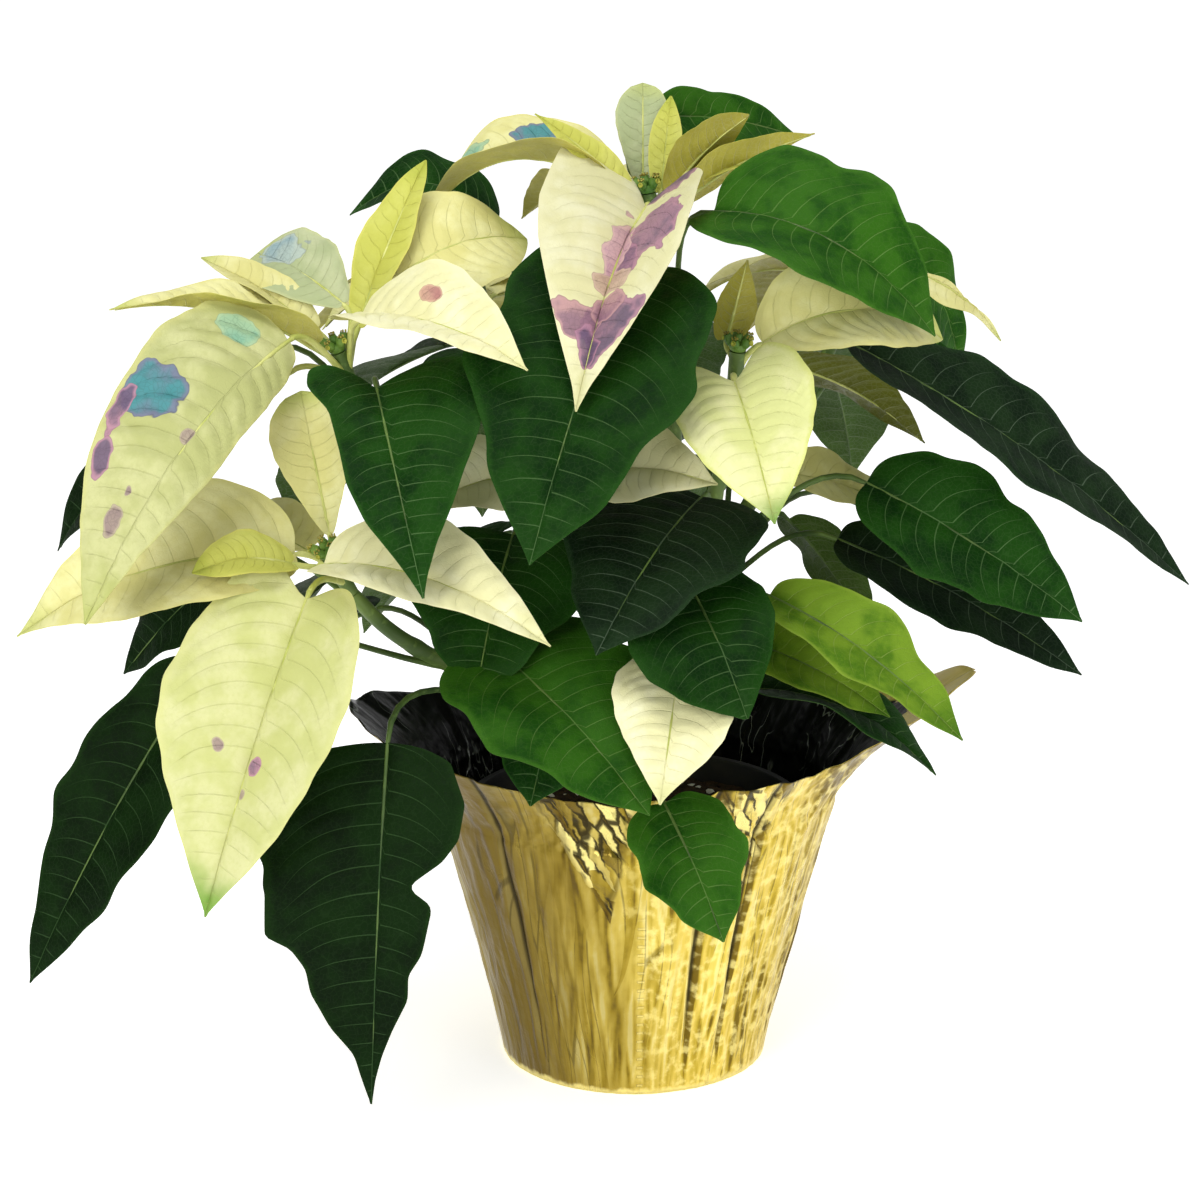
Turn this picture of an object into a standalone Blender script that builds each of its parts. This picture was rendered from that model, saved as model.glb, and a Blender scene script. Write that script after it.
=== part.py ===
"""Potted poinsettia with cream bracts, in a nursery pot wrapped in gold foil.

The plant is one trunk with eight shoots. Each shoot is a leafy stem, a head of bracts
on the end of it and a cluster of small flowers on top. The pot stands in the foil on
a flat round foot. The origin is the middle of that foot, +Z is up and the front, the
side with the low stretch of the foil's rim, faces -Y.
"""

import math
from typing import NamedTuple

import bpy
import numpy as np

MM = 0.001
GAP = 0.0004

# Foil wrap
FOOT_RADIUS = 0.060
FOIL_THICK = 0.0007
FOIL_BODY_TOP = 0.120
FOIL_BODY_RADIUS = 0.090
RIM_LOW_RADIUS, RIM_LOW_HEIGHT = 0.099, 0.147
RIM_PEAK_REACH, RIM_PEAK_RISE = 0.046, 0.027
# Angle of each peak of the rim in degrees, its height as a share and its half width in degrees
RIM_PEAKS = ((0, 1.0, 21), (58, 0.75, 17), (112, 0.9, 19), (182, 0.6, 28), (302, 0.2, 12))
PLEATS = 11
PLEAT_DEPTH = 0.0011
FOIL_COLUMNS = 44
FOIL_LEVELS = (0, 0.05, 0.35, 0.7, 1.0, 1.35, 1.7, 2.0)

# Nursery pot and soil
POT_FOOT_RADIUS = 0.054
POT_TOP_RADIUS = 0.0735
POT_HEIGHT = 0.117
POT_WALL = 0.0015
POT_LIP = 0.0025
POT_LIP_HEIGHT = 0.010
POT_SIDES = 24
DRAIN_RADIUS = 0.0045
DRAIN_CIRCLE = 0.036
SOIL_TOP = 0.106
SOIL_MOUND = 0.004
# Radii where the soil's mound starts to fall and where it is down to a share of its height
MOUND_TOP_RADIUS, MOUND_SIDE_RADIUS, MOUND_SIDE_SHARE = 0.020, 0.045, 0.6

# Trunk, stems and petioles
TRUNK_RADIUS = 0.0075
TRUNK_TOP = 0.172
TRUNK_DEPTH = 0.030
TRUNK_SIDES = 12
STEM_FOOT_RADIUS, STEM_TOP_RADIUS = 0.0041, 0.0031
HEAD_STEM = 0.020
HEAD_RADII = (0.0031, 0.0031, 0.0036)
STEM_SIDES = 6
STEM_PLACES = 101
PETIOLE_HALF = 0.0012
# The petiole's two bends, as shares of its reach, and how far the first is lifted
PETIOLE_FIRST_BEND, PETIOLE_LAST_BEND, PETIOLE_LIFT = 0.4, 0.35, 0.004

# Blades
BLADE_THICK = 0.0009
TIP_HALF = 0.0006
RIB_DEPTH = 0.0011
WAVE_HALF_TURNS = 4
RIGHT_WAVE_SHIFT = 1.9
BLADE_START, BLADE_END = 0.06, 0.93

# Flower clusters
DISC_FOOT_RADIUS, DISC_TOP_RADIUS, DISC_HEIGHT, DISC_SIDES = 0.0032, 0.0042, 0.0034, 6
CUPS, CUP_SIDES = 5, 5
CUP_CIRCLE, CUP_LOW, CUP_LEAN = 0.0026, 0.0016, 0.55
CUP_FOOT_RADIUS, CUP_TOP_RADIUS, CUP_HEIGHT = 0.0015, 0.0023, 0.0056

SMOOTH_BELOW_DEGREES = 40

COLOURS = {
    "gold_foil": ((0.80, 0.62, 0.25), 0.28, 1.0),
    "pot_plastic": ((0.03, 0.03, 0.03), 0.5, 0.0),
    "soil": ((0.06, 0.04, 0.025), 0.95, 0.0),
    "bark": ((0.16, 0.17, 0.07), 0.7, 0.0),
    "leaf_green": ((0.05, 0.16, 0.04), 0.45, 0.0),
    "bract_cream": ((0.80, 0.78, 0.50), 0.5, 0.0),
    "flower_green": ((0.28, 0.36, 0.08), 0.5, 0.0),
}


class Blade(NamedTuple):
    """One leaf or bract. Points are in millimetres, and faces is the way its upper side looks."""

    name: str
    at: float  # where the petiole leaves its stem, from 0 at the foot to 1 at the top
    base: tuple
    tip: tuple
    faces: tuple
    width: float
    bow: float = 8.0  # how far the midrib arches towards faces
    fold: float = 20.0  # degrees that each half rises from the midrib
    wave: float = 1.5  # height of the waves along the margin
    teeth: int = 0
    tooth: float = 0.0  # depth of the teeth as a share of the half width
    form: tuple = (0.6, 1.15)  # how slowly the outline opens at the base and how drawn out its tip is


class Shoot(NamedTuple):
    """One shoot: where it leaves the trunk, and in millimetres the route of its stem up to the head."""

    foot: float  # height on the trunk, where 0 stands for the trunk's own end
    route: tuple
    leaves: tuple
    bracts: tuple


def leaf(name, at, base, tip, faces, width, bow=8.0, fold=12.0, wave=2.0, teeth=3, tooth=0.13):
    return Blade(name, at, base, tip, faces, width, bow, fold, wave, teeth, tooth, (0.58, 1.0))


PADDLE = (0.9, 0.55)
OVAL = (0.75, 0.85)


def spread(name, at, root, azimuth, petiole, length, width, rise=35.0, droop=40.0, bow=10.0, toothed=True):
    """A blade that leaves the point root at a compass angle: the petiole rises and the blade droops."""
    turn, up, down = (math.radians(a) for a in (azimuth, rise, droop))
    out = np.array((math.cos(turn), math.sin(turn), 0.0))
    base = np.array(root) + petiole * (out * math.cos(up) + np.array((0, 0, math.sin(up))))
    tip = base + length * (out * math.cos(down) - np.array((0, 0, math.sin(down))))
    faces = out * math.sin(down) + np.array((0, 0, math.cos(down)))
    if toothed:
        return leaf(name, at, tuple(base), tuple(tip), tuple(faces), width, bow, teeth=2)
    return Blade(name, at, tuple(base), tuple(tip), tuple(faces), width, bow)


# The shoots, by the place of their head as the front of the plant is seen
SHOOTS = {
    "top": Shoot(
        0,
        ((6, 3, 205), (16, 6, 260), (15, 4, 322), (5, 0, 388)),
        (
            leaf("centre", 0.74, (-4, -42, 362), (-43, -140, 258), (-0.1, -0.85, 0.5), 100, 12, 12),
            leaf("upper_right", 0.76, (32, -32, 384), (122, -62, 336), (0.1, -0.55, 0.85), 86, 18, 18),
            leaf("upper_back", 0.85, (8, 32, 418), (74, 66, 406), (0.0, -0.8, 0.6), 30, 6, 12),
            spread("back", 0.6, (16, 12, 300), 88, 40, 95, 60),
            spread("back_left", 0.7, (14, 8, 320), 150, 40, 80, 52, rise=45),
            spread("rear", 0.45, (14, 8, 280), 120, 50, 90, 56, rise=40),
        ),
        (
            Blade("front", 0.5, (4, -14, 384), (-25, -114, 314), (-0.1, -0.5, 0.85), 86, 12, 32),
            Blade("erect", 0.8, (3, 12, 391), (3, 24, 433), (0, -1, 0.2), 24, 2, 12, 0.5, form=PADDLE),
            Blade(
                "small_erect", 0.7, (11, 8, 389), (15, 16, 428), (-0.3, -1, 0.2),
                15, 1, 10, 0.3, form=OVAL,
            ),
            Blade(
                "right_steep", 0.7, (15, 0, 389), (48, 4, 421), (-0.4, 0.6, 0.6),
                31, 3, 14, 0.6, form=OVAL,
            ),
            Blade("right_low", 0.6, (21, -1, 386), (77, 16, 412), (-0.3, 0.7, 0.7), 26, 4, 16, 0.8),
            Blade("right_back", 0.6, (20, 12, 390), (78, 32, 401), (0, -0.2, 1), 30, 5, 15, 0.8),
            Blade("left_steep", 0.7, (-5, -5, 391), (-43, -6, 422), (0.3, -0.8, 0.5), 15, 3, 18, 0.5),
            Blade(
                "left_long", 0.5, (-8, 7, 388), (-88, 20, 380), (-0.1, -0.35, 0.93),
                60, 20, 34, 1.5, form=OVAL,
            ),
            spread("back", 0.4, (3, 12, 384), 128, 8, 82, 44, rise=10, droop=12, toothed=False),
        ),
    ),
    "left": Shoot(
        158,
        ((-32, -7, 192), (-80, -20, 240), (-112, -33, 290), (-125, -40, 326)),
        (
            leaf("hanging", 0.8, (-106, -82, 318), (-84, -150, 247), (-0.05, -0.75, 0.65), 76, 8, 10),
            leaf("shaded", 0.75, (-92, -40, 318), (-48, -66, 305), (0, -0.3, 0.95), 50, 5, 10),
            leaf("outer", 0.7, (-160, -16, 322), (-252, -12, 234), (-0.4, -0.5, 0.75), 56, 12, 15),
            spread("back", 0.6, (-95, -20, 270), 125, 35, 95, 60, rise=30),
            spread("back_low", 0.35, (-60, -14, 220), 160, 45, 100, 60, rise=20, droop=40),
        ),
        (
            Blade("large", 0.4, (-143, -66, 335), (-216, -148, 236), (0, -0.65, 0.75), 54, 20, 18, form=OVAL),
            Blade("left_mid", 0.4, (-136, -43, 329), (-215, -70, 348), (0.1, -0.2, 0.97), 42, 9, 30),
            Blade(
                "left_small", 0.6, (-136, -33, 335), (-184, -20, 363), (0.4, -0.6, 0.7),
                24, 3, 24, 0.6, form=OVAL,
            ),
            Blade(
                "back_left", 0.6, (-124, -28, 345), (-163, 4, 362), (0.1, -0.75, 0.65),
                42, 5, 12, form=PADDLE,
            ),
            Blade("steep", 0.7, (-117, -32, 336), (-89, -10, 403), (-0.4, -0.8, 0.3), 25, 3, 20, form=OVAL),
            Blade("right", 0.5, (-115, -50, 341), (-44, -112, 330), (0.15, -0.55, 0.8), 58, 10, 28),
            Blade(
                "right_back", 0.6, (-112, -26, 346), (-47, 4, 368), (-0.2, -0.8, 0.6),
                58, 16, 12, form=OVAL,
            ),
            Blade("under", 0.2, (-145, -40, 318), (-184, -60, 274), (-0.5, 0.1, 0.7), 44, 5, 15),
        ),
    ),
    "right": Shoot(
        158,
        ((20, -12, 192), (30, -26, 245), (39, -38, 292), (42, -44, 327)),
        (
            leaf("long", 0.7, (89, -22, 328), (242, -12, 219), (0.35, -0.45, 0.8), 64, 8, 15, 2.5, 5, 0.08),
            leaf("broad", 0.5, (98, -34, 269), (188, -58, 214), (0.2, -0.75, 0.6), 62, 6, 12, 2.0, 4, 0.09),
            leaf("dark", 0.45, (27, -54, 267), (-17, -134, 220), (-0.1, -0.6, 0.8), 84, 8, 8),
        ),
        (
            Blade("heart", 0.3, (40, -62, 317), (54, -116, 269), (-0.05, -0.65, 0.76), 64, 6, 26),
            Blade("right", 0.5, (52, -47, 331), (128, -38, 331), (0, -0.5, 0.86), 60, 17, 28, form=OVAL),
            Blade("small_erect", 0.7, (38, -34, 331), (46, -36, 364), (0.3, 0.9, 0.2), 18, 1, 15, 0.5),
            Blade("olive", 0.2, (62, -6, 316), (129, 24, 275), (0.35, 0.55, 0.75), 44, 6, 14),
            Blade("low", 0.6, (62, -6, 268), (120, 8, 247), (0, -0.5, 0.85), 32, 4, 15),
        ),
    ),
    "lower_left": Shoot(
        138,
        ((-35, -22, 168), (-82, -50, 194), (-114, -68, 222), (-127, -78, 247)),
        (
            leaf(
                "hanging", 0.35, (-102, -112, 177), (-109, -142, 32), (-0.1, -0.95, 0.1),
                86, 5, 6, 2.0, 3, 0.2,
            ),
            leaf(
                "outer_low", 0.6, (-184, -50, 194), (-261, -72, 57), (-0.3, -0.85, 0.4),
                56, 8, 12, 2.0, 5, 0.09,
            ),
            leaf("outer_short", 0.75, (-172, -42, 236), (-222, -32, 184), (-0.3, -0.7, 0.6), 38, 4, 12),
            spread("back", 0.5, (-80, -40, 200), 155, 40, 95, 60, rise=15, droop=45),
        ),
        (
            Blade("front", 0.3, (-134, -106, 236), (-173, -150, 116), (-0.1, -0.93, 0.35), 84, 9, 18),
            Blade("right", 0.4, (-128, -92, 247), (-35, -136, 224), (0.1, -0.5, 0.85), 54, 13, 26),
            Blade("left_long", 0.4, (-141, -81, 249), (-255, -90, 216), (0, -0.5, 0.86), 66, 15, 30),
            Blade(
                "left_small", 0.5, (-141, -95, 248), (-179, -112, 248), (0, -0.6, 0.8),
                26, 6, 20, 0.5, form=OVAL,
            ),
            Blade(
                "erect", 0.7, (-128, -67, 255), (-139, -60, 313), (0, -1, 0.1),
                33, 2, 12, 0.8, form=(1.1, 0.55),
            ),
            Blade("back", 0.4, (-138, -62, 246), (-200, -8, 240), (-0.3, 0.1, 0.95), 46, 8, 18),
        ),
    ),
    "centre": Shoot(
        148,
        ((-12, -19, 190), (-24, -38, 230), (-30, -48, 258), (-31, -52, 278)),
        (
            leaf("front", 0.35, (-62, -88, 212), (4, -154, 160), (0.1, -0.6, 0.8), 84, 8, 10),
            leaf("over_pot", 0.05, (11, -102, 148), (35, -128, 97), (0.1, -0.85, 0.5), 50, 6, 10),
            leaf("inner", 0.6, (-52, -60, 252), (-66, -112, 196), (-0.1, -0.8, 0.6), 76, 6, 10),
            leaf("inner_low", 0.2, (-30, -66, 186), (-44, -112, 150), (-0.1, -0.7, 0.7), 56, 6, 10),
        ),
        (
            Blade("right", 0.5, (-18, -72, 280), (32, -96, 281), (0, -0.55, 0.83), 46, 6, 28),
            Blade("left", 0.5, (-44, -66, 279), (-88, -80, 268), (0, -0.5, 0.86), 42, 5, 28),
            Blade("back", 0.6, (-36, -40, 280), (-58, 8, 284), (-0.2, -0.3, 0.9), 34, 5, 18),
        ),
    ),
    "low": Shoot(
        137,
        ((7, -30, 162), (10, -52, 182), (12, -66, 202), (12, -72, 216)),
        (
            leaf("right_tip", 0.6, (55, -72, 229), (132, -112, 178), (0.3, -0.6, 0.7), 46, 8, 18),
            leaf("right_short", 0.45, (44, -62, 207), (105, -85, 180), (0.2, -0.6, 0.75), 40, 6, 18),
            leaf("middle", 0.7, (18, -83, 242), (43, -135, 194), (0.1, -0.7, 0.7), 54, 6, 12),
            spread("side", 0.3, (9, -45, 178), 338, 45, 85, 52, rise=10, droop=20),
        ),
        (
            Blade("front", 0.3, (17, -103, 210), (8, -159, 166), (0.05, -0.7, 0.7), 50, 3, 8),
            Blade("back", 0.3, (6, -60, 211), (-8, -28, 204), (0, -0.4, 0.9), 22, 3, 16),
        ),
    ),
    "back_left": Shoot(
        150,
        ((-16, 22, 192), (-40, 50, 250), (-62, 76, 300), (-72, 88, 336)),
        (
            leaf("arched", 0.85, (-62, 66, 368), (-128, 62, 372), (0, -0.5, 0.85), 44, 20, 12),
            spread("outer", 0.6, (-52, 64, 285), 160, 45, 110, 66),
            spread("rear", 0.5, (-48, 60, 270), 105, 40, 105, 64, droop=50),
            spread("low", 0.2, (-20, 28, 200), 140, 60, 110, 64, rise=25, droop=35),
            spread("rear_low", 0.3, (-30, 38, 225), 80, 50, 105, 62, rise=15, droop=45),
        ),
        (
            spread("a", 0.3, (-72, 84, 328), 40, 12, 80, 44, rise=20, droop=18, toothed=False),
            spread("b", 0.4, (-72, 86, 330), 95, 12, 92, 52, rise=15, droop=28, toothed=False),
            spread("c", 0.5, (-73, 87, 332), 150, 12, 88, 50, rise=20, droop=20, toothed=False),
            spread("d", 0.6, (-73, 87, 334), 205, 12, 66, 40, rise=20, droop=15, toothed=False),
            spread("e", 0.6, (-72, 88, 330), 125, 14, 44, 24, rise=40, droop=-20, bow=4, toothed=False),
        ),
    ),
    "back_right": Shoot(
        147,
        ((22, 18, 190), (52, 36, 245), (84, 56, 300), (100, 66, 342)),
        (
            leaf("side", 0.65, (121, 84, 364), (152, 84, 296), (0.5, -0.5, 0.6), 46, 6, 10),
            leaf("under", 0.7, (108, 46, 312), (152, 62, 300), (0.2, -0.5, 0.85), 34, 4, 12),
            leaf("grey", 0.35, (69, 22, 241), (106, 30, 188), (0.2, 0.4, 0.8), 44, 3, 10),
            leaf(
                "low_right", 0.3, (88, -14, 240), (193, -34, 184), (0.2, -0.6, 0.75),
                48, 6, 14, 2.0, 5, 0.08,
            ),
            spread("rear", 0.6, (76, 52, 285), 72, 40, 105, 62, droop=45),
            spread("rear_low", 0.3, (46, 32, 235), 105, 55, 105, 62, rise=25, droop=45),
            spread("side_low", 0.25, (40, 28, 225), 30, 60, 110, 62, rise=20, droop=38),
            spread("rear_inner", 0.45, (60, 42, 260), 130, 40, 90, 56, rise=30, droop=40),
        ),
        (
            Blade("right", 0.4, (116, 50, 350), (163, 36, 319), (0.4, -0.5, 0.75), 32, 8, 20),
            Blade("right_upper", 0.3, (108, 80, 342), (136, 126, 332), (0.5, 0, 0.9), 30, 8, 22),
            spread("a", 0.4, (100, 68, 338), 70, 12, 80, 46, rise=20, droop=20, toothed=False),
            spread("b", 0.5, (100, 68, 338), 120, 12, 88, 50, rise=20, droop=25, toothed=False),
            spread("c", 0.6, (98, 68, 340), 175, 12, 66, 42, rise=20, droop=15, toothed=False),
            spread("d", 0.6, (100, 66, 336), 95, 14, 44, 24, rise=40, droop=-25, bow=4, toothed=False),
        ),
    ),
}


def unit(v):
    v = np.asarray(v, float)
    return v / np.linalg.norm(v)


def bezier(points, t):
    """Place and direction on a cubic curve, for each value of t."""
    p0, p1, p2, p3 = (np.asarray(p, float) for p in points)
    t = np.atleast_1d(t)[:, None]
    place = (1 - t) ** 3 * p0 + 3 * t * (1 - t) ** 2 * p1 + 3 * t**2 * (1 - t) * p2 + t**3 * p3
    way = 3 * (1 - t) ** 2 * (p1 - p0) + 6 * t * (1 - t) * (p2 - p1) + 3 * t**2 * (p3 - p2)
    return place, way / np.linalg.norm(way, axis=1)[:, None]


def smooth_route(points, count):
    """Points and directions along a smooth line through the given points, spaced evenly."""
    points = np.array(points, float)
    padded = np.vstack([2 * points[0] - points[1], points, 2 * points[-1] - points[-2]])
    fine = []
    for p0, p1, p2, p3 in zip(padded, padded[1:], padded[2:], padded[3:]):
        t = np.linspace(0, 1, 20, endpoint=False)[:, None]
        third = 3 * (p1 - p2) + p3 - p0
        fine.append(p1 + 0.5 * t * (p2 - p0 + t * (2 * p0 - 5 * p1 + 4 * p2 - p3 + t * third)))
    fine = np.vstack(fine + [points[-1:]])
    far = np.concatenate([[0], np.cumsum(np.linalg.norm(np.diff(fine, axis=0), axis=1))])
    even = np.linspace(0, far[-1], count)
    place = np.column_stack([np.interp(even, far, fine[:, k]) for k in range(3)])
    return place, np.array([unit(w) for w in np.gradient(place, axis=0)])


def turned(vector, old, new):
    """The vector carried along by the smallest turn that takes direction old to direction new."""
    axis = np.cross(old, new)
    size = np.linalg.norm(axis)
    if size < 1e-9:
        return vector
    axis, angle = axis / size, math.atan2(size, old @ new)
    return (
        vector * math.cos(angle)
        + np.cross(axis, vector) * math.sin(angle)
        + axis * (axis @ vector) * (1 - math.cos(angle))
    )


def half_width(blade, u):
    """Half the blade's width in metres at u, from 0 at its base to 1 at its tip."""
    round_base, long_tip = blade.form
    peak = round_base / (round_base + long_tip)
    shape = u**round_base * (1 - u) ** long_tip / (peak**round_base * (1 - peak) ** long_tip)
    if blade.teeth:
        shape = shape * (1 - blade.tooth * (0.5 + 0.5 * np.cos(2 * math.pi * blade.teeth * u)))
    return np.maximum(0.5 * blade.width * MM * shape, TIP_HALF)


def midrib(blade):
    """The midrib's four control points, the way across the blade, and its upper side's direction."""
    base, tip = np.array(blade.base) * MM, np.array(blade.tip) * MM
    along = unit(tip - base)
    up = unit(np.array(blade.faces) - (np.array(blade.faces) @ along) * along)
    lift = up * blade.bow * MM * 4 / 3
    controls = (base, base + (tip - base) / 3 + lift, base + (tip - base) * 2 / 3 + lift, tip)
    return controls, np.cross(along, up), up


def stations(blade):
    """Where along the blade its cross sections stand: at each tooth and notch, or spaced evenly."""
    if blade.teeth:
        inner = np.arange(1, 2 * blade.teeth) / (2 * blade.teeth)
        return np.concatenate([[0.0, BLADE_START], inner, [BLADE_END, 1.0]])
    length = np.linalg.norm(np.array(blade.tip) - np.array(blade.base))
    count = 3 + sum(length > longer for longer in (50, 80, 110))
    return np.concatenate([[0.0, BLADE_START], np.linspace(0.2, 0.9, count), [1.0]])


def wave_phase(blade):
    """Where the margin's waves start, from 0 to a full turn."""
    return sum(blade.tip) % (2 * math.pi)


def petiole_sections(blade, root, base, way, across):
    """The cross sections of the petiole from root, in the stem's middle, to the blade's base."""
    reach = np.linalg.norm(base - root)
    first_bend = root + PETIOLE_FIRST_BEND * (base - root) + (0, 0, PETIOLE_LIFT)
    last_bend = base - way * reach * PETIOLE_LAST_BEND
    steps = np.linspace(0, 1, 4 if blade.teeth else 3)[:-1]
    places, ways = bezier((root, first_bend, last_bend, base), steps)
    a = PETIOLE_HALF
    offsets = ((-a, a / 2), (0, a), (a, a / 2), (a, -a / 2), (0, -a), (-a, -a / 2))
    side, before, sections = across, way, []
    for p, w in reversed(list(zip(places, ways))):
        side = unit(turned(side, before, w))
        before, up = w, np.cross(side, w)
        sections.append([p + side * x + up * y for x, y in offsets])
    return sections[::-1]


def blade_sections(blade, root):
    """The cross sections of a petiole and its blade, from the stem's middle at root out to the tip.

    Each has six points: left, middle and right on top, then right, middle and left underneath.
    """
    controls, across, _ = midrib(blade)
    u = stations(blade)
    place, way = bezier(controls, u)
    half = half_width(blade, u)
    rise = math.radians(blade.fold)
    starts = wave_phase(blade) + np.array((0, RIGHT_WAVE_SHIFT))
    sections = petiole_sections(blade, root, controls[0], way[0], across)
    for i, (p, w) in enumerate(zip(place, way)):
        up = np.cross(across, w)
        ripple = blade.wave * MM * math.sin(math.pi * u[i]) * np.sin(WAVE_HALF_TURNS * math.pi * u[i] + starts)
        lift = half[i] * math.sin(rise) * (1 - 0.5 * u[i]) + ripple * (half[i] > TIP_HALF)
        side = across * half[i] * math.cos(rise)
        left, right = p - side + up * lift[0], p + side + up * lift[1]
        thick = up * BLADE_THICK / 2
        rib = up * RIB_DEPTH * (1 - u[i])
        sections.append([left + thick, p + thick, right + thick, right - thick, p - thick - rib, left - thick])
    return sections


def mesh_object(name, points, faces, colour):
    mesh = bpy.data.meshes.new(name)
    mesh.from_pydata([tuple(p) for p in points], [], faces)
    mesh.validate()
    obj = bpy.data.objects.new(name, mesh)
    bpy.context.scene.collection.objects.link(obj)
    mesh.materials.append(material(colour))
    return obj


def loft(sections):
    """Points and faces of a closed solid through rings of the same number of points.

    Each ring runs over the top from left to right and back underneath, as seen from the loft's start.
    The side faces are split in triangles alike on the top and the underside.
    """
    count, points, faces = len(sections[0]), [p for s in sections for p in s], []
    for i in range(len(sections) - 1):
        a, b = i * count, (i + 1) * count
        for j in range(count):
            k = (j + 1) % count
            if j < count / 2:
                faces += [(a + j, a + k, b + k), (a + j, b + k, b + j)]
            else:
                faces += [(a + j, a + k, b + j), (a + k, b + k, b + j)]
    last = len(sections) * count - count
    faces.append(tuple(reversed(range(count))))
    faces.append(tuple(range(last, last + count)))
    return points, faces


def blade_solid(name, blade, stem_place, colour):
    points, faces = loft(blade_sections(blade, stem_place))
    return mesh_object(name, points, faces, colour)


def tube(name, route, radii, sides, colour, end_ways=None):
    """A solid rod along a route of points, with a radius at each. Its ends are square to end_ways."""
    route = np.array(route, float)
    ways = [unit(w) for w in np.gradient(route, axis=0)]
    if end_ways:
        ways[0], ways[-1] = end_ways
    side = unit(np.cross(ways[0], (0.3, 1.0, 0.2)))
    sections, before = [], ways[0]
    for p, w, r in zip(route, ways, radii):
        side = unit(turned(side, before, w))
        up, before = np.cross(side, w), w
        angles = [math.pi - 2 * math.pi * k / sides for k in range(sides)]
        sections.append([p + r * (side * math.cos(a) + up * math.sin(a)) for a in angles])
    points, faces = loft(sections)
    return mesh_object(name, points, faces, colour)


def material(name):
    """The part's own colour, roughness and metallic value as a Principled material."""
    found = bpy.data.materials.get(name)
    if found:
        return found
    made = bpy.data.materials.new(name)
    made.use_nodes = True
    shader = made.node_tree.nodes["Principled BSDF"]
    colour, roughness, metallic = COLOURS[name]
    shader.inputs["Base Color"].default_value = (*colour, 1.0)
    shader.inputs["Roughness"].default_value = roughness
    shader.inputs["Metallic"].default_value = metallic
    made.diffuse_color = (*colour, 1.0)
    return made


def fused(body, others):
    """Joins the other solids to the body in one Boolean union and removes them.

    The manifold solver keeps thin blades closed where the exact one leaves open edges.
    """
    group = bpy.data.collections.new(body.name + "_pieces")
    bpy.context.scene.collection.children.link(group)
    for obj in others:
        bpy.context.scene.collection.objects.unlink(obj)
        group.objects.link(obj)
    union = body.modifiers.new("union", "BOOLEAN")
    union.operation, union.operand_type, union.solver = "UNION", "COLLECTION", "MANIFOLD"
    union.collection = group
    bpy.context.view_layer.update()
    graph = bpy.context.evaluated_depsgraph_get()
    joined = bpy.data.meshes.new_from_object(body.evaluated_get(graph))
    body.modifiers.clear()
    body.data = joined
    for obj in others:
        bpy.data.objects.remove(obj)
    bpy.data.collections.remove(group)
    return body


def stem_route(shoot):
    """The stem's route in metres from the trunk's surface to the head's top, and its direction at the foot."""
    route = [np.array(p) * MM for p in shoot.route]
    if shoot.foot:
        out = unit((*shoot.route[0][:2], 0))
        start = out * (TRUNK_RADIUS + GAP) + (0, 0, shoot.foot * MM)
        return [start, start + out * TRUNK_RADIUS + (0, 0, 0.003), *route], out
    return [np.array((0, 0, TRUNK_TOP + GAP)), *route], np.array((0, 0, 1.0))


def split_route(shoot):
    """The places along the leafy stem and along the head's own stem, with the directions of their ends."""
    route, foot_way = stem_route(shoot)
    place, way = smooth_route(route, 40)
    top, top_way = place[-1], way[-1]
    keep = np.linalg.norm(place - top, axis=1) > HEAD_STEM * 1.3
    neck = top - top_way * HEAD_STEM
    leafy, _ = smooth_route([*place[keep][::6], neck - top_way * GAP], 8)
    return leafy, np.array([neck, (neck + top) / 2, top]), foot_way, top_way


def make_shoot(name, shoot):
    leafy, head, foot_way, way = split_route(shoot)
    radii = np.linspace(STEM_FOOT_RADIUS, STEM_TOP_RADIUS, len(leafy))
    stem = tube("leafy_stem_" + name, leafy, radii, STEM_SIDES, "leaf_green", (foot_way, way))
    roots, _ = smooth_route(leafy, STEM_PLACES)
    leaves = [blade_solid(b.name, b, roots[int(b.at * (STEM_PLACES - 1))], "leaf_green") for b in shoot.leaves]
    fused(stem, leaves)
    core = tube("bract_head_" + name, head, HEAD_RADII, STEM_SIDES, "bract_cream")
    bracts = [
        blade_solid(b.name, b, head[0] + (0.1 + 0.65 * b.at) * (head[-1] - head[0]), "bract_cream")
        for b in shoot.bracts
    ]
    fused(core, bracts)
    cyathia("flowers_" + name, head[-1] + way * GAP, way)


def cyathia(name, foot, way):
    """The cluster of small cup-shaped flowers in the middle of a head."""
    spin = unit(np.cross(way, (1.0, 0.2, 0.0)))
    other = np.cross(way, spin)
    disc_radii = (DISC_FOOT_RADIUS, DISC_TOP_RADIUS)
    disc = tube(name, [foot, foot + way * DISC_HEIGHT], disc_radii, DISC_SIDES, "flower_green")
    cups = []
    for k in range(CUPS):
        turn = 2 * math.pi * k / CUPS
        out = spin * math.cos(turn) + other * math.sin(turn)
        low = foot + out * CUP_CIRCLE + way * CUP_LOW
        high = low + unit(way + CUP_LEAN * out) * CUP_HEIGHT
        radii = (CUP_FOOT_RADIUS, CUP_TOP_RADIUS)
        cups.append(tube(f"{name}_cup_{k}", [low, high], radii, CUP_SIDES, "flower_green"))
    return fused(disc, cups)


def angle_gap(a, b):
    return (a - b + 180) % 360 - 180


def rim_share(angle):
    """How far the rim stands out at this angle, as a share of the highest peak."""
    return max(h * math.exp(-((angle_gap(angle, a) / w) ** 2)) for a, h, w in RIM_PEAKS)


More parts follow.
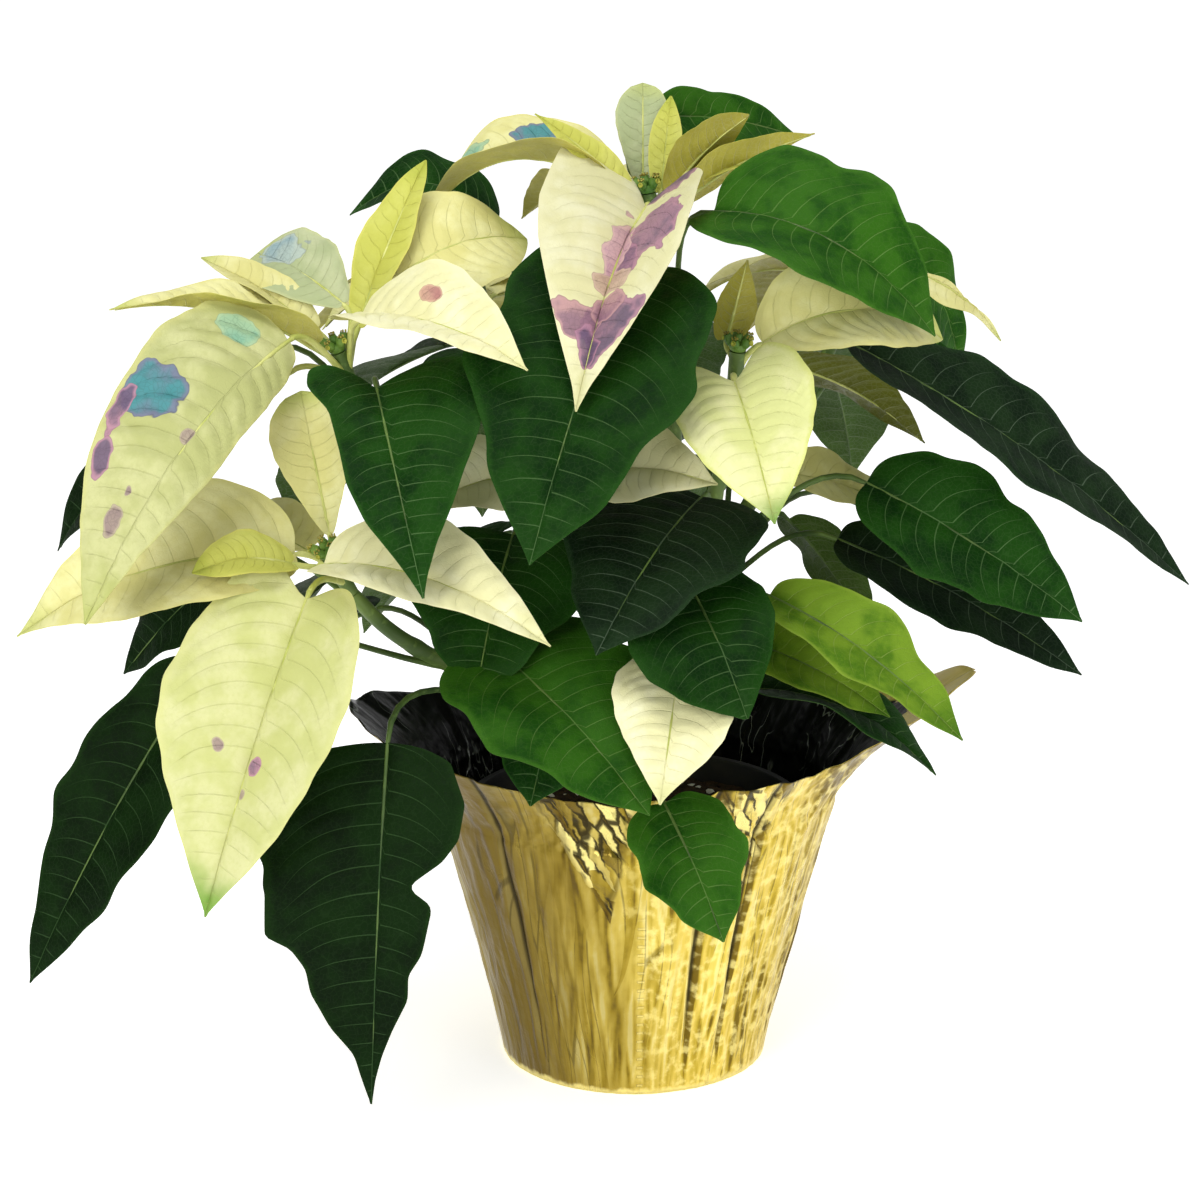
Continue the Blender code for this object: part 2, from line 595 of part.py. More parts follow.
def foil_wall(angle, level):
    """Radius and height of the foil. Level 0 is its foot, 1 the top of its body and 2 its rim."""
    turn = math.radians(angle)
    pleat = math.sin(PLEATS * turn) * PLEAT_DEPTH
    if level <= 1:
        radius = FOOT_RADIUS + (FOIL_BODY_RADIUS - FOOT_RADIUS) * level**1.15
        return radius + pleat * min(1, 3 * level), FOIL_BODY_TOP * level
    t, share = level - 1, rim_share(angle)
    radius = RIM_LOW_RADIUS + RIM_PEAK_REACH * share - FOIL_BODY_RADIUS
    height = RIM_LOW_HEIGHT + RIM_PEAK_RISE * share - FOIL_BODY_TOP
    return FOIL_BODY_RADIUS + radius * t**1.5 + pleat * (1 + t), FOIL_BODY_TOP + height * t


def make_foil():
    """The foil wrap: a flat foot, a pleated wall and a rim that flares into peaks."""
    outer, inner = [], []
    for level in FOIL_LEVELS:
        flare = max(0.0, level - 1.0)
        for k in range(FOIL_COLUMNS):
            turn = 2 * math.pi * k / FOIL_COLUMNS
            radius, height = foil_wall(math.degrees(turn), level)
            out = np.array((math.cos(turn), math.sin(turn), 0))
            outer.append(out * radius + (0, 0, height))
            lift = FOIL_THICK * 0.9 * (level > 1.0)
            inner_radius = radius - FOIL_THICK * (1 - 0.5 * flare)
            inner.append(out * inner_radius + (0, 0, max(height, FOIL_THICK) + lift))
    count, rows, shift, faces = FOIL_COLUMNS, len(FOIL_LEVELS), len(outer), []
    for row in range(rows - 1):
        for k in range(count):
            a, b = row * count + k, row * count + (k + 1) % count
            c, d = a + count, b + count
            faces += [(a, b, d), (a, d, c)]
            faces += [(shift + a, shift + d, shift + b), (shift + a, shift + c, shift + d)]
    top = (rows - 1) * count
    for k in range(count):
        a, b = top + k, top + (k + 1) % count
        faces += [(a, b, shift + b), (a, shift + b, shift + a)]
    faces.append(tuple(reversed(range(count))))
    faces.append(tuple(range(shift, shift + count)))
    return mesh_object("foil_wrap", outer + inner, faces, "gold_foil")


def turned_solid(name, profile, sides, colour):
    """A solid of revolution: profile lists radius and height from the bottom's middle to the top's."""
    points, faces, rings = [], [], []
    for radius, height in profile:
        if radius == 0:
            rings.append([len(points)])
            points.append((0, 0, height))
            continue
        rings.append(list(range(len(points), len(points) + sides)))
        angles = [2 * math.pi * k / sides for k in range(sides)]
        points += [(radius * math.cos(a), radius * math.sin(a), height) for a in angles]
    for low, high in zip(rings, rings[1:]):
        for k in range(sides):
            n = (k + 1) % sides
            if len(low) == 1:
                faces.append((low[0], high[n], high[k]))
            elif len(high) == 1:
                faces.append((low[k], low[n], high[0]))
            else:
                faces.append((low[k], low[n], high[n], high[k]))
    return mesh_object(name, points, faces, colour)


def cut(body, cutter):
    """Takes the cutter out of the body and removes the cutter.

    The manifold solver leaves no open edges at the pot's drain holes.
    """
    hole = body.modifiers.new("cut", "BOOLEAN")
    hole.operation, hole.solver, hole.object = "DIFFERENCE", "MANIFOLD", cutter
    bpy.context.view_layer.update()
    graph = bpy.context.evaluated_depsgraph_get()
    body.data = bpy.data.meshes.new_from_object(body.evaluated_get(graph))
    body.modifiers.clear()
    bpy.data.objects.remove(cutter)


def upright_cylinder(radius, low, high, sides, middle=(0.0, 0.0)):
    rod = turned_solid("cutter", ((0, low), (radius, low), (radius, high), (0, high)), sides, "soil")
    rod.data.transform(((1, 0, 0, middle[0]), (0, 1, 0, middle[1]), (0, 0, 1, 0), (0, 0, 0, 1)))
    return rod


def pot_radius(height):
    """Outer radius of the nursery pot's wall at a height above the floor."""
    return POT_FOOT_RADIUS + (POT_TOP_RADIUS - POT_FOOT_RADIUS) * height / POT_HEIGHT


def make_pot():
    """The plastic nursery pot, with a lip round its top and drain holes in its floor."""
    low, top = FOIL_THICK + GAP, POT_HEIGHT
    lip = top - POT_LIP_HEIGHT
    profile = (
        (0, low),
        (pot_radius(low), low),
        (pot_radius(lip), lip),
        (pot_radius(lip) + POT_LIP, lip),
        (pot_radius(top) + POT_LIP, top),
        (pot_radius(top) - POT_WALL, top),
        (pot_radius(low) - POT_WALL, low + POT_WALL),
        (0, low + POT_WALL),
    )
    pot = turned_solid("nursery_pot", profile, POT_SIDES, "pot_plastic")
    for k in range(4):
        turn = math.pi * (k + 0.5) / 2
        middle = (DRAIN_CIRCLE * math.cos(turn), DRAIN_CIRCLE * math.sin(turn))
        cut(pot, upright_cylinder(DRAIN_RADIUS, -0.005, 0.02, 10, middle))


def make_soil():
    """The soil, with a plain hole that the trunk stands in."""
    low = FOIL_THICK + GAP + POT_WALL + GAP
    inside = POT_WALL + GAP
    profile = (
        (0, low),
        (pot_radius(low) - inside, low),
        (pot_radius(SOIL_TOP) - inside, SOIL_TOP),
        (MOUND_SIDE_RADIUS, SOIL_TOP + SOIL_MOUND * MOUND_SIDE_SHARE),
        (MOUND_TOP_RADIUS, SOIL_TOP + SOIL_MOUND),
        (0, SOIL_TOP + SOIL_MOUND),
    )
    soil = turned_solid("soil", profile, POT_SIDES, "soil")
    hole_floor = SOIL_TOP - TRUNK_DEPTH - GAP
    cut(soil, upright_cylinder(TRUNK_RADIUS + GAP, hole_floor, 0.2, TRUNK_SIDES))


def make_trunk():
    """The short woody trunk that the shoots grow from. It stands in the soil's hole."""
    foot = SOIL_TOP - TRUNK_DEPTH
    heights = (foot, SOIL_TOP, TRUNK_TOP - TRUNK_RADIUS * 0.4, TRUNK_TOP)
    radii = (TRUNK_RADIUS, TRUNK_RADIUS, TRUNK_RADIUS, TRUNK_RADIUS * 0.75)
    tube("trunk", [(0, 0, h) for h in heights], radii, TRUNK_SIDES, "bark")


def shade(obj):
    """Shades round faces smooth and keeps sharp edges sharp."""
    obj.data.polygons.foreach_set("use_smooth", [True] * len(obj.data.polygons))
    obj.data.set_sharp_from_angle(angle=math.radians(SMOOTH_BELOW_DEGREES))


def main():
    for obj in list(bpy.data.objects):
        bpy.data.objects.remove(obj)
    make_foil()
    make_pot()
    make_soil()
    make_trunk()
    for name, shoot in SHOOTS.items():
        make_shoot(name, shoot)
    for obj in bpy.data.objects:
        shade(obj)


if __name__ == "__main__":
    main()
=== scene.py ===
"""Looks of the potted poinsettia: fine blades with veins and stains, crinkled foil, bark and soil.

Every blade follows the same midrib, width, fold and waves as its solid in the frame. This script
gives it a thin quilted sheet, its own outline where the photograph shows one, and a procedural
material. Lengths in the tables are millimetres, and the meshes are metres.
"""

import math
from typing import NamedTuple

import bpy
import numpy as np
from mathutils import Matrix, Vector, noise


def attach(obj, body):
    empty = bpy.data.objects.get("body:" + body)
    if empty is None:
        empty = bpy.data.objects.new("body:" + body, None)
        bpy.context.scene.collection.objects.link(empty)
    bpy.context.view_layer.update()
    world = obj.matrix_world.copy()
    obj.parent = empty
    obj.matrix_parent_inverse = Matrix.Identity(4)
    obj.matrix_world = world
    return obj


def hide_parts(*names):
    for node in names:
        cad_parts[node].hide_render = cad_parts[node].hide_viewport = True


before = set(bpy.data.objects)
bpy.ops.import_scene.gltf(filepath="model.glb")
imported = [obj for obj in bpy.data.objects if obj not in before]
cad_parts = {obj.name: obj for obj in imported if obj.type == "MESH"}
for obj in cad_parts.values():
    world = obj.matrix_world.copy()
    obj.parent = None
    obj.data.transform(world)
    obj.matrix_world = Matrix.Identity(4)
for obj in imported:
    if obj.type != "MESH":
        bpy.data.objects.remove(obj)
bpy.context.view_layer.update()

MM = 0.001
GAP = 0.0004

# The photograph's camera
CAMERA_TARGET = (-0.0155, 0.0, 0.209)
CAMERA_PLACE = (-0.0155, -1.2129, 0.5114)
CAMERA_LENS = 84.75

# Foil wrap, as in the source
FOOT_RADIUS = 0.060
FOIL_THICK = 0.0004
FOIL_BODY_TOP = 0.120
FOIL_BODY_RADIUS = 0.090
RIM_LOW_RADIUS, RIM_LOW_HEIGHT = 0.099, 0.147
RIM_PEAK_REACH, RIM_PEAK_RISE = 0.046, 0.027
RIM_PEAKS = ((0, 1.0, 21), (58, 0.75, 17), (112, 0.9, 19), (182, 0.6, 28), (302, 0.2, 12))
# Small changes to the rim's outline beside the peaks, in the same form
RIM_TRIMS = ((-140, 0.22, 22), (-96, -0.12, 10))

# Finer foil: mesh density, the pleats pressed into it, its creases and the slits between pleats
FOIL_COLUMNS = 560
FOIL_ROWS = 68
# Folds round the whole foil: how many, how deep in metres, how far each leans up the side in steps, and a seed
FOIL_FOLDS = ((15, 0.0042, 0.3, 1.0), (41, 0.0014, -0.3, 2.0))
CRUMPLE = 0.0010
FOIL_SLITS = (-70.0, -55.0, -130.0, 12.0, 63.0, 101.0, 150.0)
SLIT_DEPTH = 0.0026
SLIT_WIDTH = 1.1
# The gathered stretch at the front: its angle in degrees, the level where it starts and its greatest half width
GATHER_ANGLE, GATHER_LOW, GATHER_HALF = -106.0, 0.62, 10.0
GATHER_DEPTH = 0.0022
GATHER_STRIP = 2.1
# Wedges of finely gathered foil in the shader: middle of each round the foil and its low end in millimetres,
# half its spread for each millimetre up, and its lean
GATHERS = ((389.0, 90.0, 0.32, 0.12), (447.0, 80.0, 0.20, 0.0))
# The ladder of short ticks pressed into the foil: its place round the foil and the step between ticks
TICK_PLACE, TICK_STEP = 403.0, 4.6
FOIL_METAL, HEM_METAL = 0.5, 0.1
# The radius in millimetres that places round the foil are measured at
FOIL_MIDDLE = 85.0
# The sharp point in which the highest peak of the rim ends: its angle, half width in degrees and height as a share
RIM_POINT = (-2.0, 8.0, 0.16)
# The hem, where the rim's edge is turned over and shows gold inside: its middle, half width and depth in levels
HEM_ANGLE, HEM_HALF, HEM_DEPTH = -3.0, 42.0, 0.45

# Pot and soil, as in the source
POT_FOOT_RADIUS = 0.054
POT_TOP_RADIUS = 0.0735
POT_HEIGHT = 0.117
POT_WALL = 0.0015
POT_LIP = 0.0025
POT_LIP_HEIGHT = 0.010
POT_LOW = 0.0011
DRAIN_RADIUS = 0.0045
DRAIN_CIRCLE = 0.036
SOIL_TOP = 0.106
SOIL_MOUND = 0.004
GRANULES = 260

# Trunk, stems and petioles, as in the source
TRUNK_RADIUS = 0.0075
TRUNK_TOP = 0.172
TRUNK_DEPTH = 0.030
STEM_FOOT_RADIUS, STEM_TOP_RADIUS = 0.0041, 0.0031
HEAD_STEM = 0.020
STEM_SIDES = 16
PETIOLE_RADIUS = 0.0013
RIB_RADIUS = 0.0009

# Blades
SHEET = 0.00045
TIP_HALF = 0.0004
WAVE_HALF_TURNS = 4
STEP_ALONG, STEP_ACROSS = 1.5, 2.4
LEAF_QUILT, BRACT_QUILT = 0.5, 1.1
LATERALS = 12
LOBE_PLACE = 0.07


class Blade(NamedTuple):
    """One leaf or bract. Points are in millimetres, and faces is the way its upper side looks."""

    name: str
    at: float  # where the petiole leaves its stem, from 0 at the foot to 1 at the top
    base: tuple
    tip: tuple
    faces: tuple
    width: float
    bow: float = 8.0  # how far the midrib arches towards faces
    fold: float = 20.0  # degrees that each half rises from the midrib
    wave: float = 1.5  # height of the waves along the margin
    teeth: int = 0
    tooth: float = 0.0  # depth of the teeth as a share of the half width
    form: tuple = (0.6, 1.15)  # how slowly the outline opens at the base and how drawn out its tip is


class Shoot(NamedTuple):
    """One shoot: where it leaves the trunk, and in millimetres the route of its stem up to the head."""

    foot: float  # height on the trunk, where 0 stands for the trunk's own end
    route: tuple
    leaves: tuple
    bracts: tuple


def leaf(name, at, base, tip, faces, width, bow=8.0, fold=12.0, wave=2.0, teeth=3, tooth=0.13):
    return Blade(name, at, base, tip, faces, width, bow, fold, wave, teeth, tooth, (0.58, 1.0))


PADDLE = (0.9, 0.55)
OVAL = (0.75, 0.85)


def spread(name, at, root, azimuth, petiole, length, width, rise=35.0, droop=40.0, bow=10.0, toothed=True):
    """A blade that leaves the point root at a compass angle: the petiole rises and the blade droops."""
    turn, up, down = (math.radians(a) for a in (azimuth, rise, droop))
    out = np.array((math.cos(turn), math.sin(turn), 0.0))
    base = np.array(root) + petiole * (out * math.cos(up) + np.array((0, 0, math.sin(up))))
    tip = base + length * (out * math.cos(down) - np.array((0, 0, math.sin(down))))
    faces = out * math.sin(down) + np.array((0, 0, math.cos(down)))
    if toothed:
        return leaf(name, at, tuple(base), tuple(tip), tuple(faces), width, bow, teeth=2)
    return Blade(name, at, tuple(base), tuple(tip), tuple(faces), width, bow)


# The shoots, by the place of their head as the front of the plant is seen
SHOOTS = {
    "top": Shoot(
        0,
        ((6, 3, 205), (16, 6, 260), (15, 4, 322), (5, 0, 388)),
        (
            leaf("centre", 0.74, (-4, -42, 362), (-43, -140, 258), (-0.1, -0.85, 0.5), 100, 12, 12),
            leaf("upper_right", 0.76, (32, -32, 384), (122, -62, 336), (0.1, -0.55, 0.85), 86, 18, 18),
            leaf("upper_back", 0.85, (8, 32, 418), (74, 66, 406), (0.0, -0.8, 0.6), 30, 6, 12),
            spread("back", 0.6, (16, 12, 300), 88, 40, 95, 60),
            spread("back_left", 0.7, (14, 8, 320), 150, 40, 80, 52, rise=45),
            spread("rear", 0.45, (14, 8, 280), 120, 50, 90, 56, rise=40),
        ),
        (
            Blade("front", 0.5, (4, -14, 384), (-25, -114, 314), (-0.1, -0.5, 0.85), 86, 12, 32),
            Blade("erect", 0.8, (3, 12, 391), (3, 24, 433), (0, -1, 0.2), 24, 2, 12, 0.5, form=PADDLE),
            Blade(
                "small_erect", 0.7, (11, 8, 389), (15, 16, 428), (-0.3, -1, 0.2),
                15, 1, 10, 0.3, form=OVAL,
            ),
            Blade(
                "right_steep", 0.7, (15, 0, 389), (48, 4, 421), (-0.4, 0.6, 0.6),
                31, 3, 14, 0.6, form=OVAL,
            ),
            Blade("right_low", 0.6, (21, -1, 386), (77, 16, 412), (-0.3, 0.7, 0.7), 26, 4, 16, 0.8),
            Blade("right_back", 0.6, (20, 12, 390), (78, 32, 401), (0, -0.2, 1), 30, 5, 15, 0.8),
            Blade("left_steep", 0.7, (-5, -5, 391), (-43, -6, 422), (0.3, -0.8, 0.5), 15, 3, 18, 0.5),
            Blade(
                "left_long", 0.5, (-8, 7, 388), (-88, 20, 380), (-0.1, -0.35, 0.93),
                60, 20, 34, 1.5, form=OVAL,
            ),
            spread("back", 0.4, (3, 12, 384), 128, 8, 82, 44, rise=10, droop=12, toothed=False),
        ),
    ),
    "left": Shoot(
        158,
        ((-32, -7, 192), (-80, -20, 240), (-112, -33, 290), (-125, -40, 326)),
        (
            leaf("hanging", 0.8, (-106, -82, 318), (-84, -150, 247), (-0.05, -0.75, 0.65), 76, 8, 10),
            leaf("shaded", 0.75, (-92, -40, 318), (-48, -66, 305), (0, -0.3, 0.95), 50, 5, 10),
            leaf("outer", 0.7, (-160, -16, 322), (-252, -12, 234), (-0.4, -0.5, 0.75), 56, 12, 15),
            spread("back", 0.6, (-95, -20, 270), 125, 35, 95, 60, rise=30),
            spread("back_low", 0.35, (-60, -14, 220), 160, 45, 100, 60, rise=20, droop=40),
        ),
        (
            Blade("large", 0.4, (-143, -66, 335), (-216, -148, 236), (0, -0.65, 0.75), 54, 20, 18, form=OVAL),
            Blade("left_mid", 0.4, (-136, -43, 329), (-215, -70, 348), (0.1, -0.2, 0.97), 42, 9, 30),
            Blade(
                "left_small", 0.6, (-136, -33, 335), (-184, -20, 363), (0.4, -0.6, 0.7),
                24, 3, 24, 0.6, form=OVAL,
            ),
            Blade(
                "back_left", 0.6, (-124, -28, 345), (-163, 4, 362), (0.1, -0.75, 0.65),
                42, 5, 12, form=PADDLE,
            ),
            Blade("steep", 0.7, (-117, -32, 336), (-89, -10, 403), (-0.4, -0.8, 0.3), 25, 3, 20, form=OVAL),
            Blade("right", 0.5, (-115, -50, 341), (-44, -112, 330), (0.15, -0.55, 0.8), 58, 10, 28),
            Blade(
                "right_back", 0.6, (-112, -26, 346), (-47, 4, 368), (-0.2, -0.8, 0.6),
                58, 16, 12, form=OVAL,
            ),
            Blade("under", 0.2, (-145, -40, 318), (-184, -60, 274), (-0.5, 0.1, 0.7), 44, 5, 15),
        ),
    ),
    "right": Shoot(
        158,
        ((20, -12, 192), (30, -26, 245), (39, -38, 292), (42, -44, 327)),
        (
            leaf("long", 0.7, (89, -22, 328), (242, -12, 219), (0.35, -0.45, 0.8), 64, 8, 15, 2.5, 5, 0.08),
            leaf("broad", 0.5, (98, -34, 269), (188, -58, 214), (0.2, -0.75, 0.6), 62, 6, 12, 2.0, 4, 0.09),
            leaf("dark", 0.45, (27, -54, 267), (-17, -134, 220), (-0.1, -0.6, 0.8), 84, 8, 8),
        ),
        (
            Blade("heart", 0.3, (40, -62, 317), (54, -116, 269), (-0.05, -0.65, 0.76), 64, 6, 26),
            Blade("right", 0.5, (52, -47, 331), (128, -38, 331), (0, -0.5, 0.86), 60, 17, 28, form=OVAL),
            Blade("small_erect", 0.7, (38, -34, 331), (46, -36, 364), (0.3, 0.9, 0.2), 18, 1, 15, 0.5),
            Blade("olive", 0.2, (62, -6, 316), (129, 24, 275), (0.35, 0.55, 0.75), 44, 6, 14),
            Blade("low", 0.6, (62, -6, 268), (120, 8, 247), (0, -0.5, 0.85), 32, 4, 15),
        ),
    ),
    "lower_left": Shoot(
        138,
        ((-35, -22, 168), (-82, -50, 194), (-114, -68, 222), (-127, -78, 247)),
        (
            leaf(
                "hanging", 0.35, (-102, -112, 177), (-109, -142, 32), (-0.1, -0.95, 0.1),
                86, 5, 6, 2.0, 3, 0.2,
            ),
            leaf(
                "outer_low", 0.6, (-184, -50, 194), (-261, -72, 57), (-0.3, -0.85, 0.4),
                56, 8, 12, 2.0, 5, 0.09,
            ),
            leaf("outer_short", 0.75, (-172, -42, 236), (-222, -32, 184), (-0.3, -0.7, 0.6), 38, 4, 12),
            spread("back", 0.5, (-80, -40, 200), 155, 40, 95, 60, rise=15, droop=45),
        ),
        (
            Blade("front", 0.3, (-134, -106, 236), (-173, -150, 116), (-0.1, -0.93, 0.35), 84, 9, 18),
            Blade("right", 0.4, (-128, -92, 247), (-35, -136, 224), (0.1, -0.5, 0.85), 54, 13, 26),
            Blade("left_long", 0.4, (-141, -81, 249), (-255, -90, 216), (0, -0.5, 0.86), 66, 15, 30),
            Blade(
                "left_small", 0.5, (-141, -95, 248), (-179, -112, 248), (0, -0.6, 0.8),
                26, 6, 20, 0.5, form=OVAL,
            ),
            Blade(
                "erect", 0.7, (-128, -67, 255), (-139, -60, 313), (0, -1, 0.1),
                33, 2, 12, 0.8, form=(1.1, 0.55),
            ),
            Blade("back", 0.4, (-138, -62, 246), (-200, -8, 240), (-0.3, 0.1, 0.95), 46, 8, 18),
        ),
    ),
    "centre": Shoot(
        148,
        ((-12, -19, 190), (-24, -38, 230), (-30, -48, 258), (-31, -52, 278)),
        (
            leaf("front", 0.35, (-62, -88, 212), (4, -154, 160), (0.1, -0.6, 0.8), 84, 8, 10),
            leaf("over_pot", 0.05, (11, -102, 148), (35, -128, 97), (0.1, -0.85, 0.5), 50, 6, 10),
            leaf("inner", 0.6, (-52, -60, 252), (-66, -112, 196), (-0.1, -0.8, 0.6), 76, 6, 10),
            leaf("inner_low", 0.2, (-30, -66, 186), (-44, -112, 150), (-0.1, -0.7, 0.7), 56, 6, 10),
        ),
        (
            Blade("right", 0.5, (-18, -72, 280), (32, -96, 281), (0, -0.55, 0.83), 46, 6, 28),
            Blade("left", 0.5, (-44, -66, 279), (-88, -80, 268), (0, -0.5, 0.86), 42, 5, 28),
            Blade("back", 0.6, (-36, -40, 280), (-58, 8, 284), (-0.2, -0.3, 0.9), 34, 5, 18),
        ),
    ),
    "low": Shoot(
        137,
        ((7, -30, 162), (10, -52, 182), (12, -66, 202), (12, -72, 216)),
        (
            leaf("right_tip", 0.6, (55, -72, 229), (132, -112, 178), (0.3, -0.6, 0.7), 46, 8, 18),
            leaf("right_short", 0.45, (44, -62, 207), (105, -85, 180), (0.2, -0.6, 0.75), 40, 6, 18),
            leaf("middle", 0.7, (18, -83, 242), (43, -135, 194), (0.1, -0.7, 0.7), 54, 6, 12),
            spread("side", 0.3, (9, -45, 178), 338, 45, 85, 52, rise=10, droop=20),
        ),
        (
            Blade("front", 0.3, (17, -103, 210), (8, -159, 166), (0.05, -0.7, 0.7), 50, 3, 8),
            Blade("back", 0.3, (6, -60, 211), (-8, -28, 204), (0, -0.4, 0.9), 22, 3, 16),
        ),
    ),
    "back_left": Shoot(
        150,
        ((-16, 22, 192), (-40, 50, 250), (-62, 76, 300), (-72, 88, 336)),
        (
            leaf("arched", 0.85, (-62, 66, 368), (-128, 62, 372), (0, -0.5, 0.85), 44, 20, 12),
            spread("outer", 0.6, (-52, 64, 285), 160, 45, 110, 66),
            spread("rear", 0.5, (-48, 60, 270), 105, 40, 105, 64, droop=50),
            spread("low", 0.2, (-20, 28, 200), 140, 60, 110, 64, rise=25, droop=35),
            spread("rear_low", 0.3, (-30, 38, 225), 80, 50, 105, 62, rise=15, droop=45),
        ),
        (
            spread("a", 0.3, (-72, 84, 328), 40, 12, 80, 44, rise=20, droop=18, toothed=False),
            spread("b", 0.4, (-72, 86, 330), 95, 12, 92, 52, rise=15, droop=28, toothed=False),
            spread("c", 0.5, (-73, 87, 332), 150, 12, 88, 50, rise=20, droop=20, toothed=False),
            spread("d", 0.6, (-73, 87, 334), 205, 12, 66, 40, rise=20, droop=15, toothed=False),
            spread("e", 0.6, (-72, 88, 330), 125, 14, 44, 24, rise=40, droop=-20, bow=4, toothed=False),
        ),
    ),
    "back_right": Shoot(
        147,
        ((22, 18, 190), (52, 36, 245), (84, 56, 300), (100, 66, 342)),
        (
            leaf("side", 0.65, (121, 84, 364), (152, 84, 296), (0.5, -0.5, 0.6), 46, 6, 10),
            leaf("under", 0.7, (108, 46, 312), (152, 62, 300), (0.2, -0.5, 0.85), 34, 4, 12),
            leaf("grey", 0.35, (69, 22, 241), (106, 30, 188), (0.2, 0.4, 0.8), 44, 3, 10),
            leaf(
                "low_right", 0.3, (88, -14, 240), (193, -34, 184), (0.2, -0.6, 0.75),
                48, 6, 14, 2.0, 5, 0.08,
            ),
            spread("rear", 0.6, (76, 52, 285), 72, 40, 105, 62, droop=45),
            spread("rear_low", 0.3, (46, 32, 235), 105, 55, 105, 62, rise=25, droop=45),
            spread("side_low", 0.25, (40, 28, 225), 30, 60, 110, 62, rise=20, droop=38),
            spread("rear_inner", 0.45, (60, 42, 260), 130, 40, 90, 56, rise=30, droop=40),
        ),
        (
            Blade("right", 0.4, (116, 50, 350), (163, 36, 319), (0.4, -0.5, 0.75), 32, 8, 20),
            Blade("right_upper", 0.3, (108, 80, 342), (136, 126, 332), (0.5, 0, 0.9), 30, 8, 22),
            spread("a", 0.4, (100, 68, 338), 70, 12, 80, 46, rise=20, droop=20, toothed=False),
            spread("b", 0.5, (100, 68, 338), 120, 12, 88, 50, rise=20, droop=25, toothed=False),
            spread("c", 0.6, (98, 68, 340), 175, 12, 66, 42, rise=20, droop=15, toothed=False),
            spread("d", 0.6, (100, 66, 336), 95, 14, 44, 24, rise=40, droop=-25, bow=4, toothed=False),
        ),
    ),
}


class Palette(NamedTuple):
    """Colours of one kind of blade, each as red, green and blue from 0 to 255 as they look on a screen."""

    top: tuple
    mottle: tuple
    vein: tuple
    tip: tuple
    edge: tuple
    under: tuple
    rough: float = 0.5


PALETTES = {
    "ivory": Palette((240, 238, 196), (230, 227, 174), (208, 205, 142), (214, 214, 152), (238, 235, 188), (214, 208, 128)),
    "cream": Palette((232, 229, 166), (220, 215, 140), (196, 192, 118), (184, 194, 100), (226, 221, 144), (200, 194, 96)),
    # A greyer, darker cream that paints the shade on the large bract of the left head
    "painted_shade": Palette((204, 206, 146), (184, 188, 122), (158, 162, 96), (176, 184, 96), (206, 206, 132), (150, 150, 66)),
    # Lime and pale_lime are a shaded and a lit copy of one colour: the first paints shade on the front bract of the
    # lower left head, the second paints light on the heart-shaped bract
    "lime": Palette((206, 207, 150), (192, 196, 126), (180, 184, 108), (96, 148, 42), (204, 206, 136), (196, 196, 98)),
    "pale_lime": Palette((240, 240, 180), (228, 232, 158), (206, 210, 124), (96, 148, 42), (214, 220, 116), (196, 196, 98)),
    "sage": Palette((150, 154, 66), (124, 130, 46), (166, 170, 90), (130, 140, 50), (166, 168, 66), (120, 126, 44)),
    "yellow": Palette((200, 202, 104), (190, 192, 88), (176, 170, 68), (166, 174, 66), (208, 204, 104), (190, 182, 72)),
    "olive": Palette((172, 176, 72), (186, 190, 90), (156, 148, 52), (158, 166, 58), (196, 190, 86), (188, 180, 72)),
    "moss": Palette((92, 100, 24), (112, 118, 34), (78, 86, 20), (100, 112, 32), (166, 168, 66), (98, 104, 28)),
    "grey": Palette((196, 204, 160), (178, 190, 142), (176, 184, 130), (188, 198, 124), (202, 208, 152), (176, 182, 118)),
    "deep": Palette((7, 24, 3), (13, 36, 6), (70, 100, 60), (16, 40, 10), (22, 48, 12), (58, 82, 40), 0.5),
    "dark": Palette((11, 42, 8), (24, 62, 12), (102, 136, 84), (32, 70, 20), (34, 74, 20), (78, 106, 52), 0.5),
    "mid": Palette((26, 70, 12), (48, 96, 20), (118, 154, 82), (54, 100, 26), (62, 110, 30), (92, 122, 54), 0.5),
    "bright": Palette((78, 118, 24), (120, 154, 42), (160, 184, 92), (62, 104, 24), (138, 166, 56), (134, 152, 64), 0.5),
    "black": Palette((13, 29, 14), (24, 44, 21), (104, 124, 100), (24, 46, 22), (32, 56, 28), (56, 76, 46), 0.5),
}
# Foil gold: the lit and the shaded tone of the painted light on its facets, a darker painted shade, a painted
# highlight, the painted shade in creases and slits, and the bright turned-over hem
GOLD_PALE, GOLD_DEEP, GOLD_SHADE = (234, 208, 96), (188, 162, 48), (84, 64, 4)
GOLD_HIGHLIGHT, GOLD_CREASE_SHADE, GOLD_HEM = (252, 236, 150), (44, 36, 8), (250, 226, 130)
PURPLE = ((112, 90, 118), (194, 142, 162))
MAUVE = ((150, 112, 130), (206, 160, 160))
BEIGE = ((196, 168, 142), (216, 186, 168))
PINK = ((196, 150, 170), (228, 190, 186))
TEAL = ((62, 142, 150), (120, 120, 150))
FAINT_BLUE = ((150, 178, 184), (190, 204, 190))
GREY_SPOT = ((150, 128, 128), (190, 176, 150))
RED_SPOT = ((176, 118, 116), (214, 176, 150))
SEA = ((134, 186, 158), (176, 204, 160))


class Stain(NamedTuple):
    """A blot on a blade's upper side. Place and size are shares of its length and of its half width."""

    u: float
    v: float
    long: float
    wide: float
    colours: tuple


class Look(NamedTuple):
    """What a blade shows beyond its form in the source."""

    kind: str
    folds: tuple = ()  # degrees that its left and right half rise, where they aren't the source's
    lobes: tuple = (4, 4)  # how far the left and right lobe at the base reach back, in millimetres
    curl: float = 0.10  # how convex each half is
    quilt: float = 1.0  # how strongly it is quilted, beside other blades
    outline: tuple = ()  # rows of place along the blade, left and right half width in millimetres
    stains: tuple = ()


